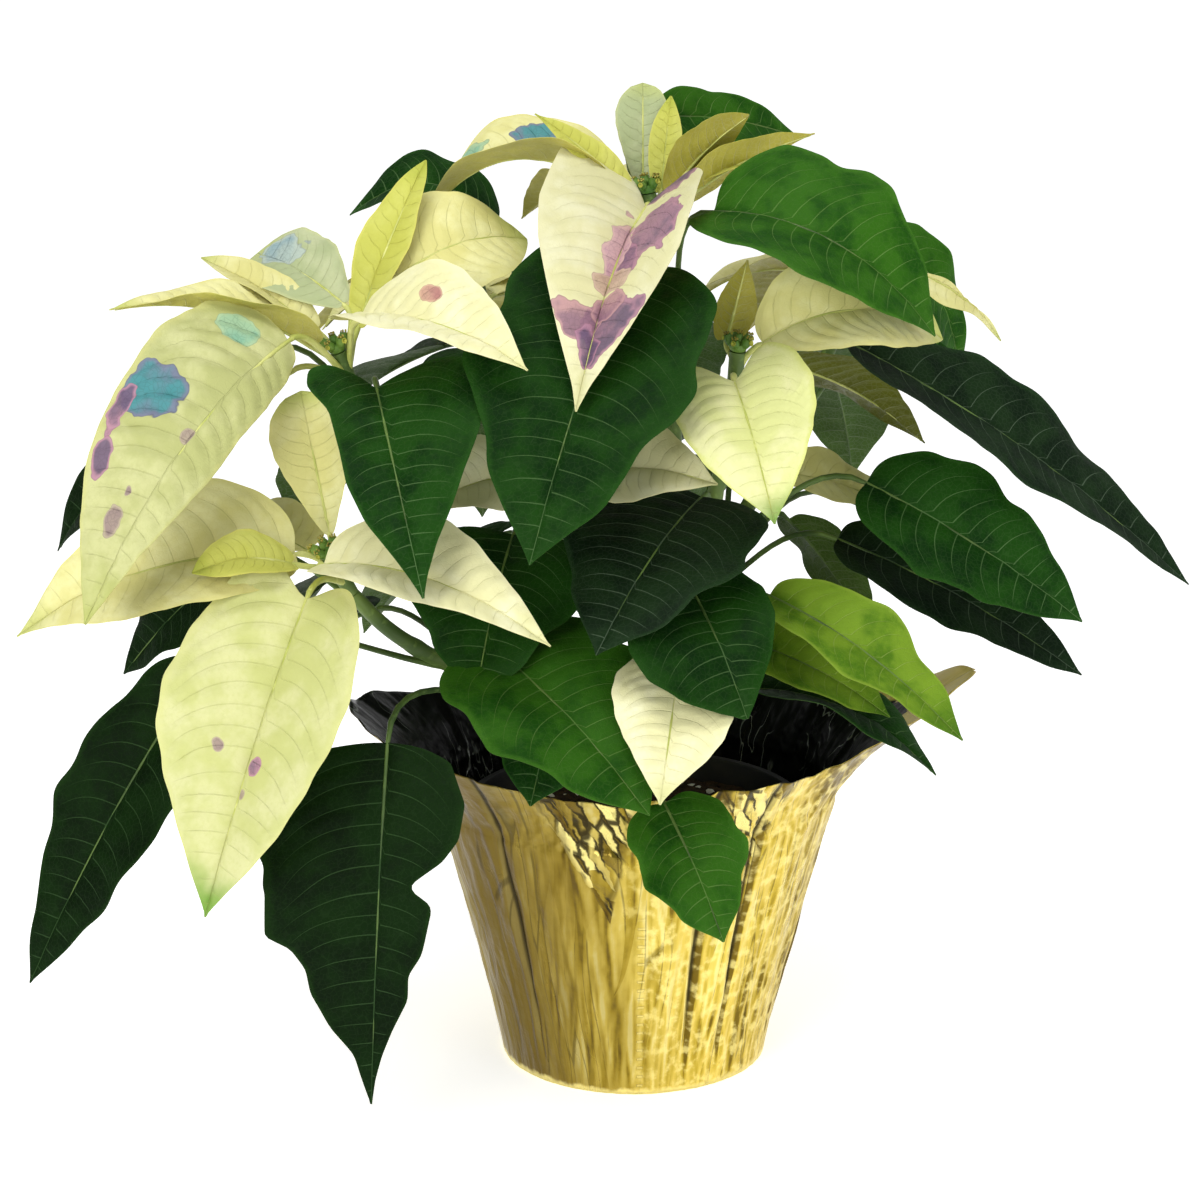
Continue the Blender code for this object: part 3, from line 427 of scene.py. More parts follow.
# Outlines of blades whose shape stands out, read off the photograph
HANGING_LEAF = (
    (0.0, 0.4, 0.4),
    (0.03, 15, 14),
    (0.07, 27, 34),
    (0.17, 34, 46),
    (0.26, 32, 52),
    (0.32, 25.5, 50),
    (0.355, 18.5, 47),
    (0.385, 13, 47),
    (0.41, 15, 47),
    (0.425, 21, 46),
    (0.45, 22.5, 46),
    (0.55, 20, 46),
    (0.575, 19, 36),
    (0.63, 14, 29),
    (0.70, 14, 26.5),
    (0.787, 8, 18),
    (0.86, 4, 7.5),
    (0.93, 1.5, 4),
    (1.0, 0.3, 0.3),
)
WIDE_BRACT = (
    (0.0, 0.4, 0.4),
    (0.03, 13, 19),
    (0.08, 25, 35),
    (0.15, 34, 44),
    (0.30, 38, 43),
    (0.45, 37, 36),
    (0.60, 31, 26),
    (0.75, 21, 16),
    (0.85, 11, 9),
    (0.92, 5, 4),
    (1.0, 0.3, 0.3),
)
NARROW_LEAF = (
    (0.0, 0.4, 0.4),
    (0.03, 17, 14),
    (0.08, 34, 26),
    (0.13, 41, 28),
    (0.20, 43, 21),
    (0.35, 38, 20),
    (0.50, 30, 20),
    (0.65, 21, 16),
    (0.80, 10, 9),
    (0.92, 3.5, 3.5),
    (1.0, 0.3, 0.3),
)
LEANING_LEAF = (
    (0.0, 0.4, 0.4),
    (0.10, 18, 20),
    (0.30, 27, 34),
    (0.50, 26, 39),
    (0.70, 19, 35),
    (0.85, 10, 24),
    (0.95, 4, 10),
    (1.0, 0.3, 0.3),
)
ARCHED_BRACT = (
    (0.0, 0.4, 0.4),
    (0.05, 8, 20),
    (0.12, 13, 34),
    (0.25, 17, 40),
    (0.45, 18, 37),
    (0.65, 15, 29),
    (0.82, 9, 17),
    (0.93, 4, 7),
    (1.0, 0.3, 0.3),
)
BACK_LEAF = (
    (0.0, 0.4, 0.4),
    (0.10, 13, 10),
    (0.30, 19, 17),
    (0.50, 17, 22),
    (0.70, 11, 24),
    (0.85, 6, 17),
    (0.95, 2.5, 8),
    (1.0, 0.3, 0.3),
)
LOW_BRACT = (
    (0.0, 0.4, 0.4),
    (0.08, 1, 8),
    (0.20, 2, 14),
    (0.40, 2, 14),
    (0.60, 1.5, 10),
    (0.80, 1.5, 5),
    (0.92, 1, 2),
    (1.0, 0.3, 0.3),
)
LOOKS = {
    "top.front": Look(
        "ivory",
        folds=(38, 34),
        lobes=(20, 32),
        curl=0.14,
        outline=WIDE_BRACT,
        stains=(
            Stain(0.32, -0.42, 0.15, 0.42, PURPLE),
            Stain(0.43, -0.14, 0.08, 0.24, PURPLE),
            Stain(0.32, 0.04, 0.17, 0.15, PINK),
            Stain(0.03, -0.62, 0.11, 0.42, PURPLE),
            Stain(0.52, -0.06, 0.05, 0.28, BEIGE),
            Stain(0.72, -0.32, 0.12, 0.66, PURPLE),
            Stain(0.70, 0.46, 0.07, 0.60, MAUVE),
            Stain(0.62, -0.18, 0.06, 0.30, MAUVE),
            Stain(0.78, 0.10, 0.07, 0.40, PURPLE),
        ),
    ),
    "top.erect": Look("grey"),
    "top.small_erect": Look("yellow"),
    "top.right_steep": Look("olive"),
    "top.right_low": Look("olive"),
    "top.right_back": Look("yellow"),
    "top.left_steep": Look("yellow"),
    "top.left_long": Look(
        "cream",
        folds=(50, 20),
        stains=(Stain(0.40, 0.45, 0.13, 0.36, TEAL), Stain(0.80, 0.45, 0.12, 0.5, SEA)),
    ),
    "top.upper_right": Look("mid", lobes=(8, 8)),
    "top.upper_back": Look("mid"),
    "top.centre": Look("dark", lobes=(8, 16)),
    "left.large": Look(
        "painted_shade",
        folds=(-42, 18),
        lobes=(6, 10),
        curl=0.18,
        quilt=1.6,
        outline=ARCHED_BRACT,
        stains=(
            Stain(0.40, 0.64, 0.10, 0.30, TEAL),
            Stain(0.49, 0.86, 0.08, 0.12, PURPLE),
            Stain(0.10, 0.55, 0.045, 0.24, SEA),
            Stain(0.45, 0.02, 0.025, 0.07, GREY_SPOT),
            Stain(0.62, 0.80, 0.06, 0.14, PURPLE),
            Stain(0.74, 0.35, 0.04, 0.16, GREY_SPOT),
            Stain(0.66, 0.30, 0.015, 0.05, GREY_SPOT),
        ),
    ),
    "left.left_mid": Look("cream", folds=(46, 20)),
    "left.left_small": Look("cream", folds=(40, 24)),
    "left.back_left": Look("grey", stains=(Stain(0.75, 0.2, 0.2, 0.5, FAINT_BLUE),)),
    "left.steep": Look("yellow"),
    "left.right": Look("ivory", curl=0.12, stains=(Stain(0.36, -0.42, 0.06, 0.16, RED_SPOT),)),
    "left.right_back": Look("cream", lobes=(10, 10)),
    "left.under": Look("sage"),
    "left.hanging": Look("dark", lobes=(10, 24), outline=NARROW_LEAF),
    "right.heart": Look("pale_lime", folds=(30, 22), lobes=(16, 12), curl=0.16),
    "right.right": Look("cream", folds=(36, 10), curl=0.16),
    "right.small_erect": Look("olive"),
    "right.olive": Look("moss"),
    "right.long": Look("black"),
    "right.broad": Look("dark"),
    "right.dark": Look("black"),
    "lower_left.front": Look(
        "lime",
        folds=(34, 16),
        lobes=(12, 18),
        curl=0.16,
        quilt=1.3,
        stains=(
            Stain(0.53, -0.12, 0.030, 0.09, PURPLE),
            Stain(0.62, -0.04, 0.015, 0.05, GREY_SPOT),
            Stain(0.50, 0.35, 0.02, 0.06, GREY_SPOT),
        ),
    ),
    "lower_left.right": Look("ivory", curl=0.12),
    "lower_left.left_long": Look("cream", folds=(10, 40), curl=0.16),
    "lower_left.left_small": Look("yellow"),
    "lower_left.erect": Look("cream"),
    "lower_left.hanging": Look("deep", curl=0.06, outline=HANGING_LEAF),
    "lower_left.outer_low": Look("deep"),
    "lower_left.outer_short": Look("deep"),
    "left.outer": Look("deep"),
    "centre.right": Look("ivory", folds=(40, 6)),
    "centre.left": Look("ivory", folds=(6, 40)),
    "centre.front": Look("mid"),
    "centre.over_pot": Look("mid"),
    "low.front": Look("ivory", curl=0.14),
    "low.middle": Look("dark", outline=LEANING_LEAF),
    "low.right_tip": Look("bright"),
    "low.right_short": Look("bright"),
    "back_right.low_right": Look("black"),
    "back_right.grey": Look("mid"),
    "back_right.right": Look("cream", folds=(20, 2), outline=LOW_BRACT),
    "back_right.side": Look("mid", outline=BACK_LEAF),
}


def unit(v):
    v = np.asarray(v, float)
    return v / np.linalg.norm(v)


def bezier(points, t):
    """Place and direction on a cubic curve, for each value of t."""
    p0, p1, p2, p3 = (np.asarray(p, float) for p in points)
    t = np.atleast_1d(t)[:, None]
    place = (1 - t) ** 3 * p0 + 3 * t * (1 - t) ** 2 * p1 + 3 * t**2 * (1 - t) * p2 + t**3 * p3
    way = 3 * (1 - t) ** 2 * (p1 - p0) + 6 * t * (1 - t) * (p2 - p1) + 3 * t**2 * (p3 - p2)
    return place, way / np.linalg.norm(way, axis=1)[:, None]


def smooth_route(points, count):
    """Points and directions along a smooth line through the given points, spaced evenly."""
    points = np.array(points, float)
    padded = np.vstack([2 * points[0] - points[1], points, 2 * points[-1] - points[-2]])
    fine = []
    for p0, p1, p2, p3 in zip(padded, padded[1:], padded[2:], padded[3:]):
        t = np.linspace(0, 1, 20, endpoint=False)[:, None]
        fine.append(p1 + 0.5 * t * (p2 - p0 + t * (2 * p0 - 5 * p1 + 4 * p2 - p3 + t * (3 * (p1 - p2) + p3 - p0))))
    fine = np.vstack(fine + [points[-1:]])
    far = np.concatenate([[0], np.cumsum(np.linalg.norm(np.diff(fine, axis=0), axis=1))])
    even = np.linspace(0, far[-1], count)
    place = np.column_stack([np.interp(even, far, fine[:, k]) for k in range(3)])
    return place, np.array([unit(w) for w in np.gradient(place, axis=0)])


def turned(vector, old, new):
    """The vector carried along by the smallest turn that takes direction old to direction new."""
    axis = np.cross(old, new)
    size = np.linalg.norm(axis)
    if size < 1e-9:
        return vector
    axis, angle = axis / size, math.atan2(size, old @ new)
    return (
        vector * math.cos(angle)
        + np.cross(axis, vector) * math.sin(angle)
        + axis * (axis @ vector) * (1 - math.cos(angle))
    )


def rgb(colour):
    """A colour given as it looks on a screen, from 0 to 255, as Blender's linear colour."""
    return (*(((c / 255 + 0.055) / 1.055) ** 2.4 for c in colour), 1.0)


class Kit:
    """One node material. Each call adds a node and gives its output."""

    def __init__(self, name):
        self.material = bpy.data.materials.new(name)
        self.material.use_nodes = True
        self.tree = self.material.node_tree
        self.surface = self.tree.nodes["Principled BSDF"]

    def put(self, value, socket):
        if isinstance(value, bpy.types.NodeSocket):
            self.tree.links.new(value, socket)
        else:
            socket.default_value = value

    def math(self, operation, *values):
        node = self.tree.nodes.new("ShaderNodeMath")
        node.operation = operation
        for value, socket in zip(values, node.inputs):
            self.put(value, socket)
        return node.outputs[0]

    def ramp(self, value, low, high, to_low=0.0, to_high=1.0):
        """A soft step from to_low, where value is low, to to_high, where it is high."""
        node = self.tree.nodes.new("ShaderNodeMapRange")
        node.interpolation_type = "SMOOTHSTEP"
        for given, socket in zip((value, low, high, to_low, to_high), node.inputs):
            self.put(given, socket)
        return node.outputs[0]

    def mix(self, share, first, second, blend="MIX"):
        node = self.tree.nodes.new("ShaderNodeMix")
        node.data_type, node.blend_type = "RGBA", blend
        for given, socket in zip((share, first, second), (node.inputs[0], node.inputs[6], node.inputs[7])):
            self.put(given, socket)
        return node.outputs[2]

    def split(self, name):
        """The three numbers of a mesh attribute."""
        source = self.tree.nodes.new("ShaderNodeAttribute")
        source.attribute_name = name
        node = self.tree.nodes.new("ShaderNodeSeparateXYZ")
        self.put(source.outputs["Vector"], node.inputs[0])
        return node.outputs

    def join(self, x, y, z=0.0):
        node = self.tree.nodes.new("ShaderNodeCombineXYZ")
        for value, socket in zip((x, y, z), node.inputs):
            self.put(value, socket)
        return node.outputs[0]

    def place(self):
        """The point's own place, in metres."""
        return self.tree.nodes.new("ShaderNodeTexCoord").outputs["Object"]

    def noise(self, place, scale, detail=2.0, roughness=0.5):
        node = self.tree.nodes.new("ShaderNodeTexNoise")
        self.put(place, node.inputs["Vector"])
        node.inputs["Scale"].default_value = scale
        node.inputs["Detail"].default_value = detail
        node.inputs["Roughness"].default_value = roughness
        return node.outputs["Fac"]

    def cells(self, place, scale):
        """Distance to the nearest border between cells."""
        node = self.tree.nodes.new("ShaderNodeTexVoronoi")
        node.feature = "DISTANCE_TO_EDGE"
        self.put(place, node.inputs["Vector"])
        node.inputs["Scale"].default_value = scale
        return node.outputs["Distance"]

    def cell_tone(self, place, scale):
        """A random grey for each cell."""
        node = self.tree.nodes.new("ShaderNodeTexVoronoi")
        self.put(place, node.inputs["Vector"])
        node.inputs["Scale"].default_value = scale
        return node.outputs["Color"]

    def bump(self, height, strength, distance):
        node = self.tree.nodes.new("ShaderNodeBump")
        node.inputs["Strength"].default_value = strength
        node.inputs["Distance"].default_value = distance
        self.put(height, node.inputs["Height"])
        self.put(node.outputs[0], self.surface.inputs["Normal"])

    def finish(self, colour, roughness, metallic=0.0, specular=0.5):
        self.put(colour, self.surface.inputs["Base Color"])
        self.put(roughness, self.surface.inputs["Roughness"])
        self.put(metallic, self.surface.inputs["Metallic"])
        self.surface.inputs["Specular IOR Level"].default_value = specular
        return self.material


def stain_distance(kit, u, v, ragged, stain):
    """How far a point is from the stain's middle, about 1 at its ragged border."""
    along = kit.math("MULTIPLY", kit.math("SUBTRACT", u, stain.u), 1 / stain.long)
    aside = kit.math("MULTIPLY", kit.math("SUBTRACT", v, stain.v), 1 / stain.wide)
    square = kit.math("ADD", kit.math("MULTIPLY", along, along), kit.math("MULTIPLY", aside, aside))
    return kit.math("MULTIPLY_ADD", ragged, 1.6, kit.math("SUBTRACT", kit.math("SQRT", square), 0.8))


def blade_material(name, palette, stains, leaf):
    """A leaf or bract with its midrib, laterals and net of small veins, paler underneath, where the colour is partly
    its own and partly painted light shining through the blade.
    """
    kit = Kit(name)
    u, v, side = kit.split("place")
    x, y, lateral = kit.split("span")
    pitch, tone, seed = kit.split("grain")
    spot = kit.join(x, y, seed)
    reach = kit.math("ABSOLUTE", y)
    share = kit.math("ABSOLUTE", v)
    patch = kit.noise(spot, 0.045, 3.0, 0.6)
    speckle = kit.noise(spot, 0.5, 2.0, 0.6)
    net = kit.cells(spot, 0.45)
    net_line = kit.ramp(net, 0.10, 0.0)

    rib_width = kit.math("MULTIPLY_ADD", u, -0.38, 0.62)
    rib = kit.ramp(kit.math("DIVIDE", reach, rib_width), 1.0, 0.35)
    line_far = kit.math("MULTIPLY", kit.math("PINGPONG", lateral, 0.5), pitch)
    line_width = kit.math("MULTIPLY_ADD", share, -0.26, 0.42)
    line = kit.ramp(kit.math("DIVIDE", line_far, line_width), 1.0, 0.2)
    line = kit.math("MULTIPLY", line, kit.ramp(share, 0.97, 0.6))
    vein = kit.math("MAXIMUM", rib, kit.math("MULTIPLY", line, 0.75))

    colour = kit.mix(kit.ramp(patch, 0.38, 0.62), rgb(palette.top), rgb(palette.mottle))
    colour = kit.mix(kit.ramp(speckle, 0.45, 0.75, 0.0, 0.35), colour, rgb(palette.mottle))
    rim = kit.math("MULTIPLY_ADD", speckle, 0.08, share)
    colour = kit.mix(kit.ramp(rim, 0.92, 1.03, 0.0, 0.7), colour, rgb(palette.edge))
    near_tip = kit.math("MULTIPLY_ADD", patch, 0.22, u)
    colour = kit.mix(kit.ramp(near_tip, 0.91, 1.12, 0.0, 0.9), colour, rgb(palette.tip))
    colour = kit.mix(kit.math("MULTIPLY", net_line, 0.05 if leaf else 0.06), colour, rgb(palette.vein))
    colour = kit.mix(kit.math("MULTIPLY", vein, 0.5 if leaf else 0.25), colour, rgb(palette.vein))
    if stains:
        ragged = kit.noise(spot, 0.09, 2.0, 0.5)
    for stain in stains:
        far = stain_distance(kit, u, v, ragged, stain)
        fill, border = stain.colours
        cloud = kit.mix(kit.ramp(patch, 0.42, 0.62, 0.0, 0.6), rgb(fill), rgb(border))
        cloud = kit.mix(kit.math("MULTIPLY_ADD", vein, 0.5, kit.math("MULTIPLY", net_line, 0.25)), cloud, rgb([c * 0.6 for c in fill]))
        ring = kit.mix(kit.ramp(far, 0.70, 0.93, 0.0, 0.8), cloud, rgb(border))
        ring = kit.mix(kit.ramp(far, 0.93, 0.99, 0.0, 0.8), ring, rgb([c * 0.75 for c in border]))
        colour = kit.mix(kit.ramp(far, 1.01, 0.97, 0.0, 0.95), colour, ring)

    # The underside: partly the blade's own paler colour and partly painted light shining through it
    under = kit.mix(kit.ramp(patch, 0.3, 0.7), rgb(palette.under), rgb([c * 0.9 for c in palette.under]))
    raised = kit.math("MAXIMUM", vein, kit.math("MULTIPLY", net_line, 0.35))
    under = kit.mix(kit.math("MULTIPLY", raised, 0.55), under, rgb([c * 0.5 + 105 for c in palette.under]))
    colour = kit.mix(side, colour, under)
    colour = kit.mix(1.0, colour, kit.join(tone, tone, tone), "MULTIPLY")

    groove = kit.math("MULTIPLY_ADD", net_line, -0.25 if leaf else -0.12, kit.math("MULTIPLY", vein, -0.8))
    kit.bump(kit.math("MULTIPLY", groove, kit.math("MULTIPLY_ADD", side, -2.0, 1.0)), 0.8, 0.00035)
    rough = kit.ramp(speckle, 0.3, 0.8, palette.rough - 0.05, palette.rough + 0.12)
    return kit.finish(colour, rough, specular=0.05 if leaf else 0.2)


def stalk_material(name, low, high):
    """A smooth green stalk with fine lengthwise streaks and small pale spots."""
    kit = Kit(name)
    place = kit.place()
    streak = kit.noise(place, 260.0, 3.0)
    cloud = kit.noise(place, 45.0, 2.0)
    colour = kit.mix(kit.ramp(cloud, 0.35, 0.65), rgb(low), rgb(high))
    colour = kit.mix(kit.ramp(streak, 0.55, 0.75, 0.0, 0.35), colour, rgb([min(255, c * 1.25 + 20) for c in high]))
    kit.bump(streak, 0.35, 0.0003)
    return kit.finish(colour, kit.ramp(streak, 0.3, 0.7, 0.38, 0.55), specular=0.35)


def bark_material():
    """Grey-green bark with rough rings and pale breathing pores."""
    kit = Kit("bark")
    place = kit.place()
    rings = kit.noise(place, 140.0, 5.0, 0.65)
    pores = kit.cells(place, 420.0)
    colour = kit.mix(kit.ramp(rings, 0.3, 0.7), rgb((74, 76, 44)), rgb((122, 116, 82)))
    colour = kit.mix(kit.ramp(pores, 0.05, 0.0, 0.0, 0.5), colour, rgb((46, 40, 28)))
    kit.bump(kit.math("ADD", rings, kit.math("MULTIPLY", pores, 0.6)), 0.9, 0.0008)
    return kit.finish(colour, kit.ramp(rings, 0.3, 0.7, 0.65, 0.9))


def soil_material():
    """Dark peat with brown fibre."""
    kit = Kit("soil")
    place = kit.place()
    grain = kit.noise(place, 320.0, 6.0, 0.7)
    fibre = kit.noise(place, 90.0, 4.0, 0.6)
    colour = kit.mix(kit.ramp(grain, 0.35, 0.7), rgb((34, 25, 18)), rgb((78, 58, 40)))
    colour = kit.mix(kit.ramp(fibre, 0.6, 0.75, 0.0, 0.6), colour, rgb((112, 84, 56)))
    kit.bump(grain, 1.0, 0.0015)
    return kit.finish(colour, kit.ramp(grain, 0.3, 0.7, 0.8, 1.0), specular=0.2)


def perlite_material():
    kit = Kit("perlite")
    grain = kit.noise(kit.place(), 700.0, 3.0)
    colour = kit.mix(grain, rgb((196, 192, 180)), rgb((236, 234, 226)))
    kit.bump(grain, 0.6, 0.0004)
    return kit.finish(colour, kit.ramp(grain, 0.3, 0.7, 0.75, 0.95))


def plastic_material():
    """Black moulded nursery pot with a faint grain and dusty scuffs."""
    kit = Kit("pot_plastic")
    place = kit.place()
    grain = kit.noise(place, 900.0, 2.0)
    dust = kit.noise(place, 40.0, 4.0, 0.6)
    colour = kit.mix(kit.ramp(dust, 0.5, 0.75, 0.0, 0.5), rgb((24, 24, 25)), rgb((66, 60, 52)))
    kit.bump(grain, 0.3, 0.0002)
    return kit.finish(colour, kit.ramp(dust, 0.3, 0.8, 0.35, 0.7))


def gather_mask(kit, round_way, upward, middle, low, half, lean):
    """1 inside a wedge of gathered foil, which opens upward from the height low, and 0 outside it."""
    rise = kit.math("SUBTRACT", upward, low)
    aside = kit.math("ABSOLUTE", kit.math("MULTIPLY_ADD", rise, lean, kit.math("SUBTRACT", round_way, middle)))
    reach = kit.math("MAXIMUM", kit.math("MULTIPLY", rise, half), 0.01)
    return kit.ramp(kit.math("DIVIDE", aside, reach), 1.25, 0.7)


def foil_material():
    """Gold foil outside, with crisp long facets lit and shaded in paint by their slope, gathered wedges and creases
    with painted highlights and shade, and a silver inside painted near black as shade, with painted glints.
    """
    kit = Kit("gold_foil")
    round_way, upward, inside = kit.split("place")
    crease, hem, shading_slope = kit.split("press")
    spot = kit.join(round_way, upward, inside)
    long_way = kit.join(round_way, kit.math("MULTIPLY", upward, 0.3), inside)
    cloud = kit.noise(long_way, 0.05, 3.0, 0.6)
    bend = kit.noise(long_way, 0.022, 1.0)
    shifted = kit.math("MULTIPLY_ADD", bend, 44.0, round_way)
    long_spot = kit.join(shifted, kit.math("MULTIPLY", upward, 0.08), inside)
    streak = kit.noise(long_spot, 0.3, 2.0, 0.45)
    facet = kit.cell_tone(long_spot, 0.12)
    border = kit.cells(long_spot, 0.12)
    crumple = kit.noise(spot, 0.16, 3.0, 0.55)
    # Painted light and shade: random facet tones, streaks and each fold's slope make the gold lighter or darker, as if
    # the facets caught or lost the light
    lit = kit.math("MULTIPLY_ADD", facet, 0.35, kit.math("MULTIPLY_ADD", streak, 0.5, kit.math("MULTIPLY", cloud, 0.4)))
    lit = kit.math("MULTIPLY_ADD", shading_slope, -0.8, kit.math("MULTIPLY_ADD", crumple, 0.25, lit))
    gold = kit.mix(kit.ramp(lit, 0.50, 0.95), rgb(GOLD_DEEP), rgb(GOLD_PALE))
    gold = kit.mix(kit.ramp(lit, 0.60, 0.30, 0.0, 0.8), gold, rgb(GOLD_SHADE))
    gold = kit.mix(kit.ramp(lit, 0.90, 1.15, 0.0, 0.85), gold, rgb(GOLD_HIGHLIGHT))
    left = kit.math("MULTIPLY_ADD", cloud, 60.0, round_way)
    # The painted shade on the gold at the left front and the painted glints at the right both fade out before the seam
    # at the back
    painted_shade = kit.math("MULTIPLY", kit.ramp(left, 355.0, 480.0, 0.9, 0.0), kit.ramp(round_way, 190.0, 330.0))
    gold = kit.mix(painted_shade, gold, rgb(GOLD_SHADE))
    # Painted shade in the fine creases between facets
    fine_line = kit.math("MULTIPLY", kit.ramp(border, 0.035, 0.01), kit.ramp(cloud, 0.48, 0.54))
    gold = kit.mix(kit.math("MULTIPLY", fine_line, 0.5), gold, rgb(GOLD_CREASE_SHADE))
    # Painted glints on the crumples at the right and a painted highlight along the foot
    sparkle_side = kit.math("MULTIPLY", kit.ramp(left, 425.0, 445.0), kit.ramp(round_way, 620.0, 480.0))
    sparkle = kit.math("MULTIPLY", kit.ramp(crumple, 0.46, 0.66), sparkle_side)
    foot_highlight = kit.math("MULTIPLY", kit.ramp(kit.math("MULTIPLY_ADD", crumple, 5.0, upward), 6.0, 3.5), 0.8)
    gold = kit.mix(kit.math("MAXIMUM", kit.math("MULTIPLY", sparkle, 0.6), foot_highlight), gold, rgb(GOLD_HIGHLIGHT))

    ticks = kit.math("ABSOLUTE", kit.math("SUBTRACT", round_way, TICK_PLACE))
    rung = kit.math("PINGPONG", upward, TICK_STEP / 2)
    ladder = kit.math("MULTIPLY", kit.ramp(ticks, 2.2, 1.4), kit.ramp(rung, 0.8, 0.4))
    ladder = kit.math("MULTIPLY", ladder, kit.ramp(upward, 96.0, 85.0))
    masks = [gather_mask(kit, round_way, upward, *place) for place in GATHERS]
    gathered = kit.math("MAXIMUM", *masks)
    slanted = kit.math("MULTIPLY_ADD", upward, 0.45, round_way)
    crossed = kit.join(kit.math("MULTIPLY_ADD", crumple, 4.0, slanted), kit.math("MULTIPLY", upward, 0.30), inside)
    pinch = kit.cells(crossed, 0.22)
    tone = kit.cell_tone(crossed, 0.22)
    # Painted highlights and painted shade on the gathered cells
    gold = kit.mix(kit.math("MULTIPLY", gathered, kit.ramp(tone, 0.50, 0.75, 0.0, 0.8)), gold, rgb(GOLD_HIGHLIGHT))
    gold = kit.mix(kit.math("MULTIPLY", gathered, kit.ramp(tone, 0.42, 0.25, 0.0, 0.8)), gold, rgb(GOLD_SHADE))
    # Painted highlight on the ladder's ticks
    gold = kit.mix(kit.math("MULTIPLY", ladder, 0.35), gold, rgb(GOLD_HIGHLIGHT))
    # Painted shade in the pinched ribs of the gathered wedges and in the deep slits
    rib_shade = kit.math("MULTIPLY", gathered, kit.math("MULTIPLY", kit.ramp(pinch, 0.13, 0.04), kit.ramp(streak, 0.42, 0.5)))
    dark = kit.math("MAXIMUM", kit.ramp(crease, 0.45, 0.95), rib_shade)
    gold = kit.mix(kit.math("MULTIPLY", dark, 0.95), gold, rgb(GOLD_CREASE_SHADE))

    # The silver inside is painted near black as shade, with painted glints along its sharp crinkles
    sharp = kit.math("ABSOLUTE", kit.math("SUBTRACT", kit.noise(long_way, 0.13, 2.0), 0.5))
    patch = kit.ramp(cloud, 0.46, 0.56)
    inside_shade_and_glints = kit.mix(kit.math("MULTIPLY", patch, kit.ramp(sharp, 0.016, 0.0)), rgb((13, 14, 13)), rgb((140, 144, 140)))
    colour = kit.mix(kit.math("MULTIPLY", inside, kit.math("SUBTRACT", 1.0, hem)), gold, inside_shade_and_glints)
    bright_hem = kit.math("MULTIPLY", inside, hem)
    colour = kit.mix(bright_hem, colour, rgb(GOLD_HEM))
    lift = kit.math("MULTIPLY_ADD", kit.math("MULTIPLY", gathered, pinch), 3.0, kit.math("MULTIPLY", border, 0.8))
    lift = kit.math("MULTIPLY_ADD", crumple, 0.7, kit.math("MULTIPLY_ADD", streak, 0.5, lift))
    kit.bump(kit.math("SUBTRACT", lift, ladder), 0.6, 0.0012)
    metal = kit.ramp(bright_hem, 0.0, 1.0, FOIL_METAL, HEM_METAL)
    return kit.finish(colour, kit.ramp(cloud, 0.3, 0.7, 0.36, 0.26), metallic=metal, specular=0.2)


def floor_material():
    kit = Kit("studio_floor")
    grain = kit.noise(kit.place(), 60.0, 2.0)
    colour = kit.mix(grain, rgb((250, 250, 250)), rgb((244, 244, 244)))
    kit.surface.inputs["Emission Color"].default_value = (1.0, 1.0, 1.0, 1.0)
    kit.surface.inputs["Emission Strength"].default_value = FLOOR_GLOW
    return kit.finish(colour, 0.9, specular=0.1)


class Shape:
    """The points, faces and per-point values of one mesh, gathered shell by shell."""

    def __init__(self):
        self.points, self.faces, self.slots = [], [], []
        self.values = {}

    def add(self, points, faces, slot=0, **values):
        start = sum(len(p) for p in self.points)
        self.points.append(np.asarray(points, float).reshape(-1, 3))
        self.faces += [tuple(start + i for i in face) for face in faces]
        self.slots += [slot] * len(faces)
        for key, rows in values.items():
            self.values.setdefault(key, []).append((start, np.asarray(rows, float).reshape(-1, 3)))

    def make(self, name, materials, sharp=50.0):
        points = np.vstack(self.points)
        mesh = bpy.data.meshes.new(name)
        mesh.from_pydata(points.tolist(), [], self.faces)
        for made in materials:
            mesh.materials.append(made)
        mesh.polygons.foreach_set("material_index", self.slots)
        for key, parts in self.values.items():
            rows = np.zeros((len(points), 3))
            for start, part in parts:
                rows[start : start + len(part)] = part
            mesh.attributes.new(key, "FLOAT_VECTOR", "POINT").data.foreach_set("vector", rows.ravel())
        mesh.polygons.foreach_set("use_smooth", [True] * len(mesh.polygons))
        mesh.set_sharp_from_angle(angle=math.radians(sharp))
        mesh.update()
        obj = bpy.data.objects.new(name, mesh)
        bpy.context.scene.collection.objects.link(obj)
        return obj


def rings(points, closed_ends=True):
    """Faces of a tube through rings, given as an array of rings of points. Each ring turns left to right."""
    count, sides = points.shape[:2]
    faces = []
    for i in range(count - 1):
        for j in range(sides):
            k = (j + 1) % sides
            faces.append((i * sides + j, (i + 1) * sides + j, (i + 1) * sides + k, i * sides + k))
    if closed_ends:
        faces.append(tuple(range(sides)))
        faces.append(tuple(reversed(range((count - 1) * sides, count * sides))))
    return faces


def tube_points(route, ways, radii, sides, first_side=None):
    """Rings of points round a route."""
    side = unit(np.cross(ways[0], (0.3, 1.0, 0.2))) if first_side is None else first_side
    before, made = ways[0], []
    for p, w, r in zip(route, ways, radii):
        side = unit(turned(side, before, w))
        up, before = np.cross(side, w), w
        angles = 2 * math.pi * np.arange(sides) / sides
        made.append(p + r * (np.cos(angles)[:, None] * side - np.sin(angles)[:, None] * up))
    return np.array(made)


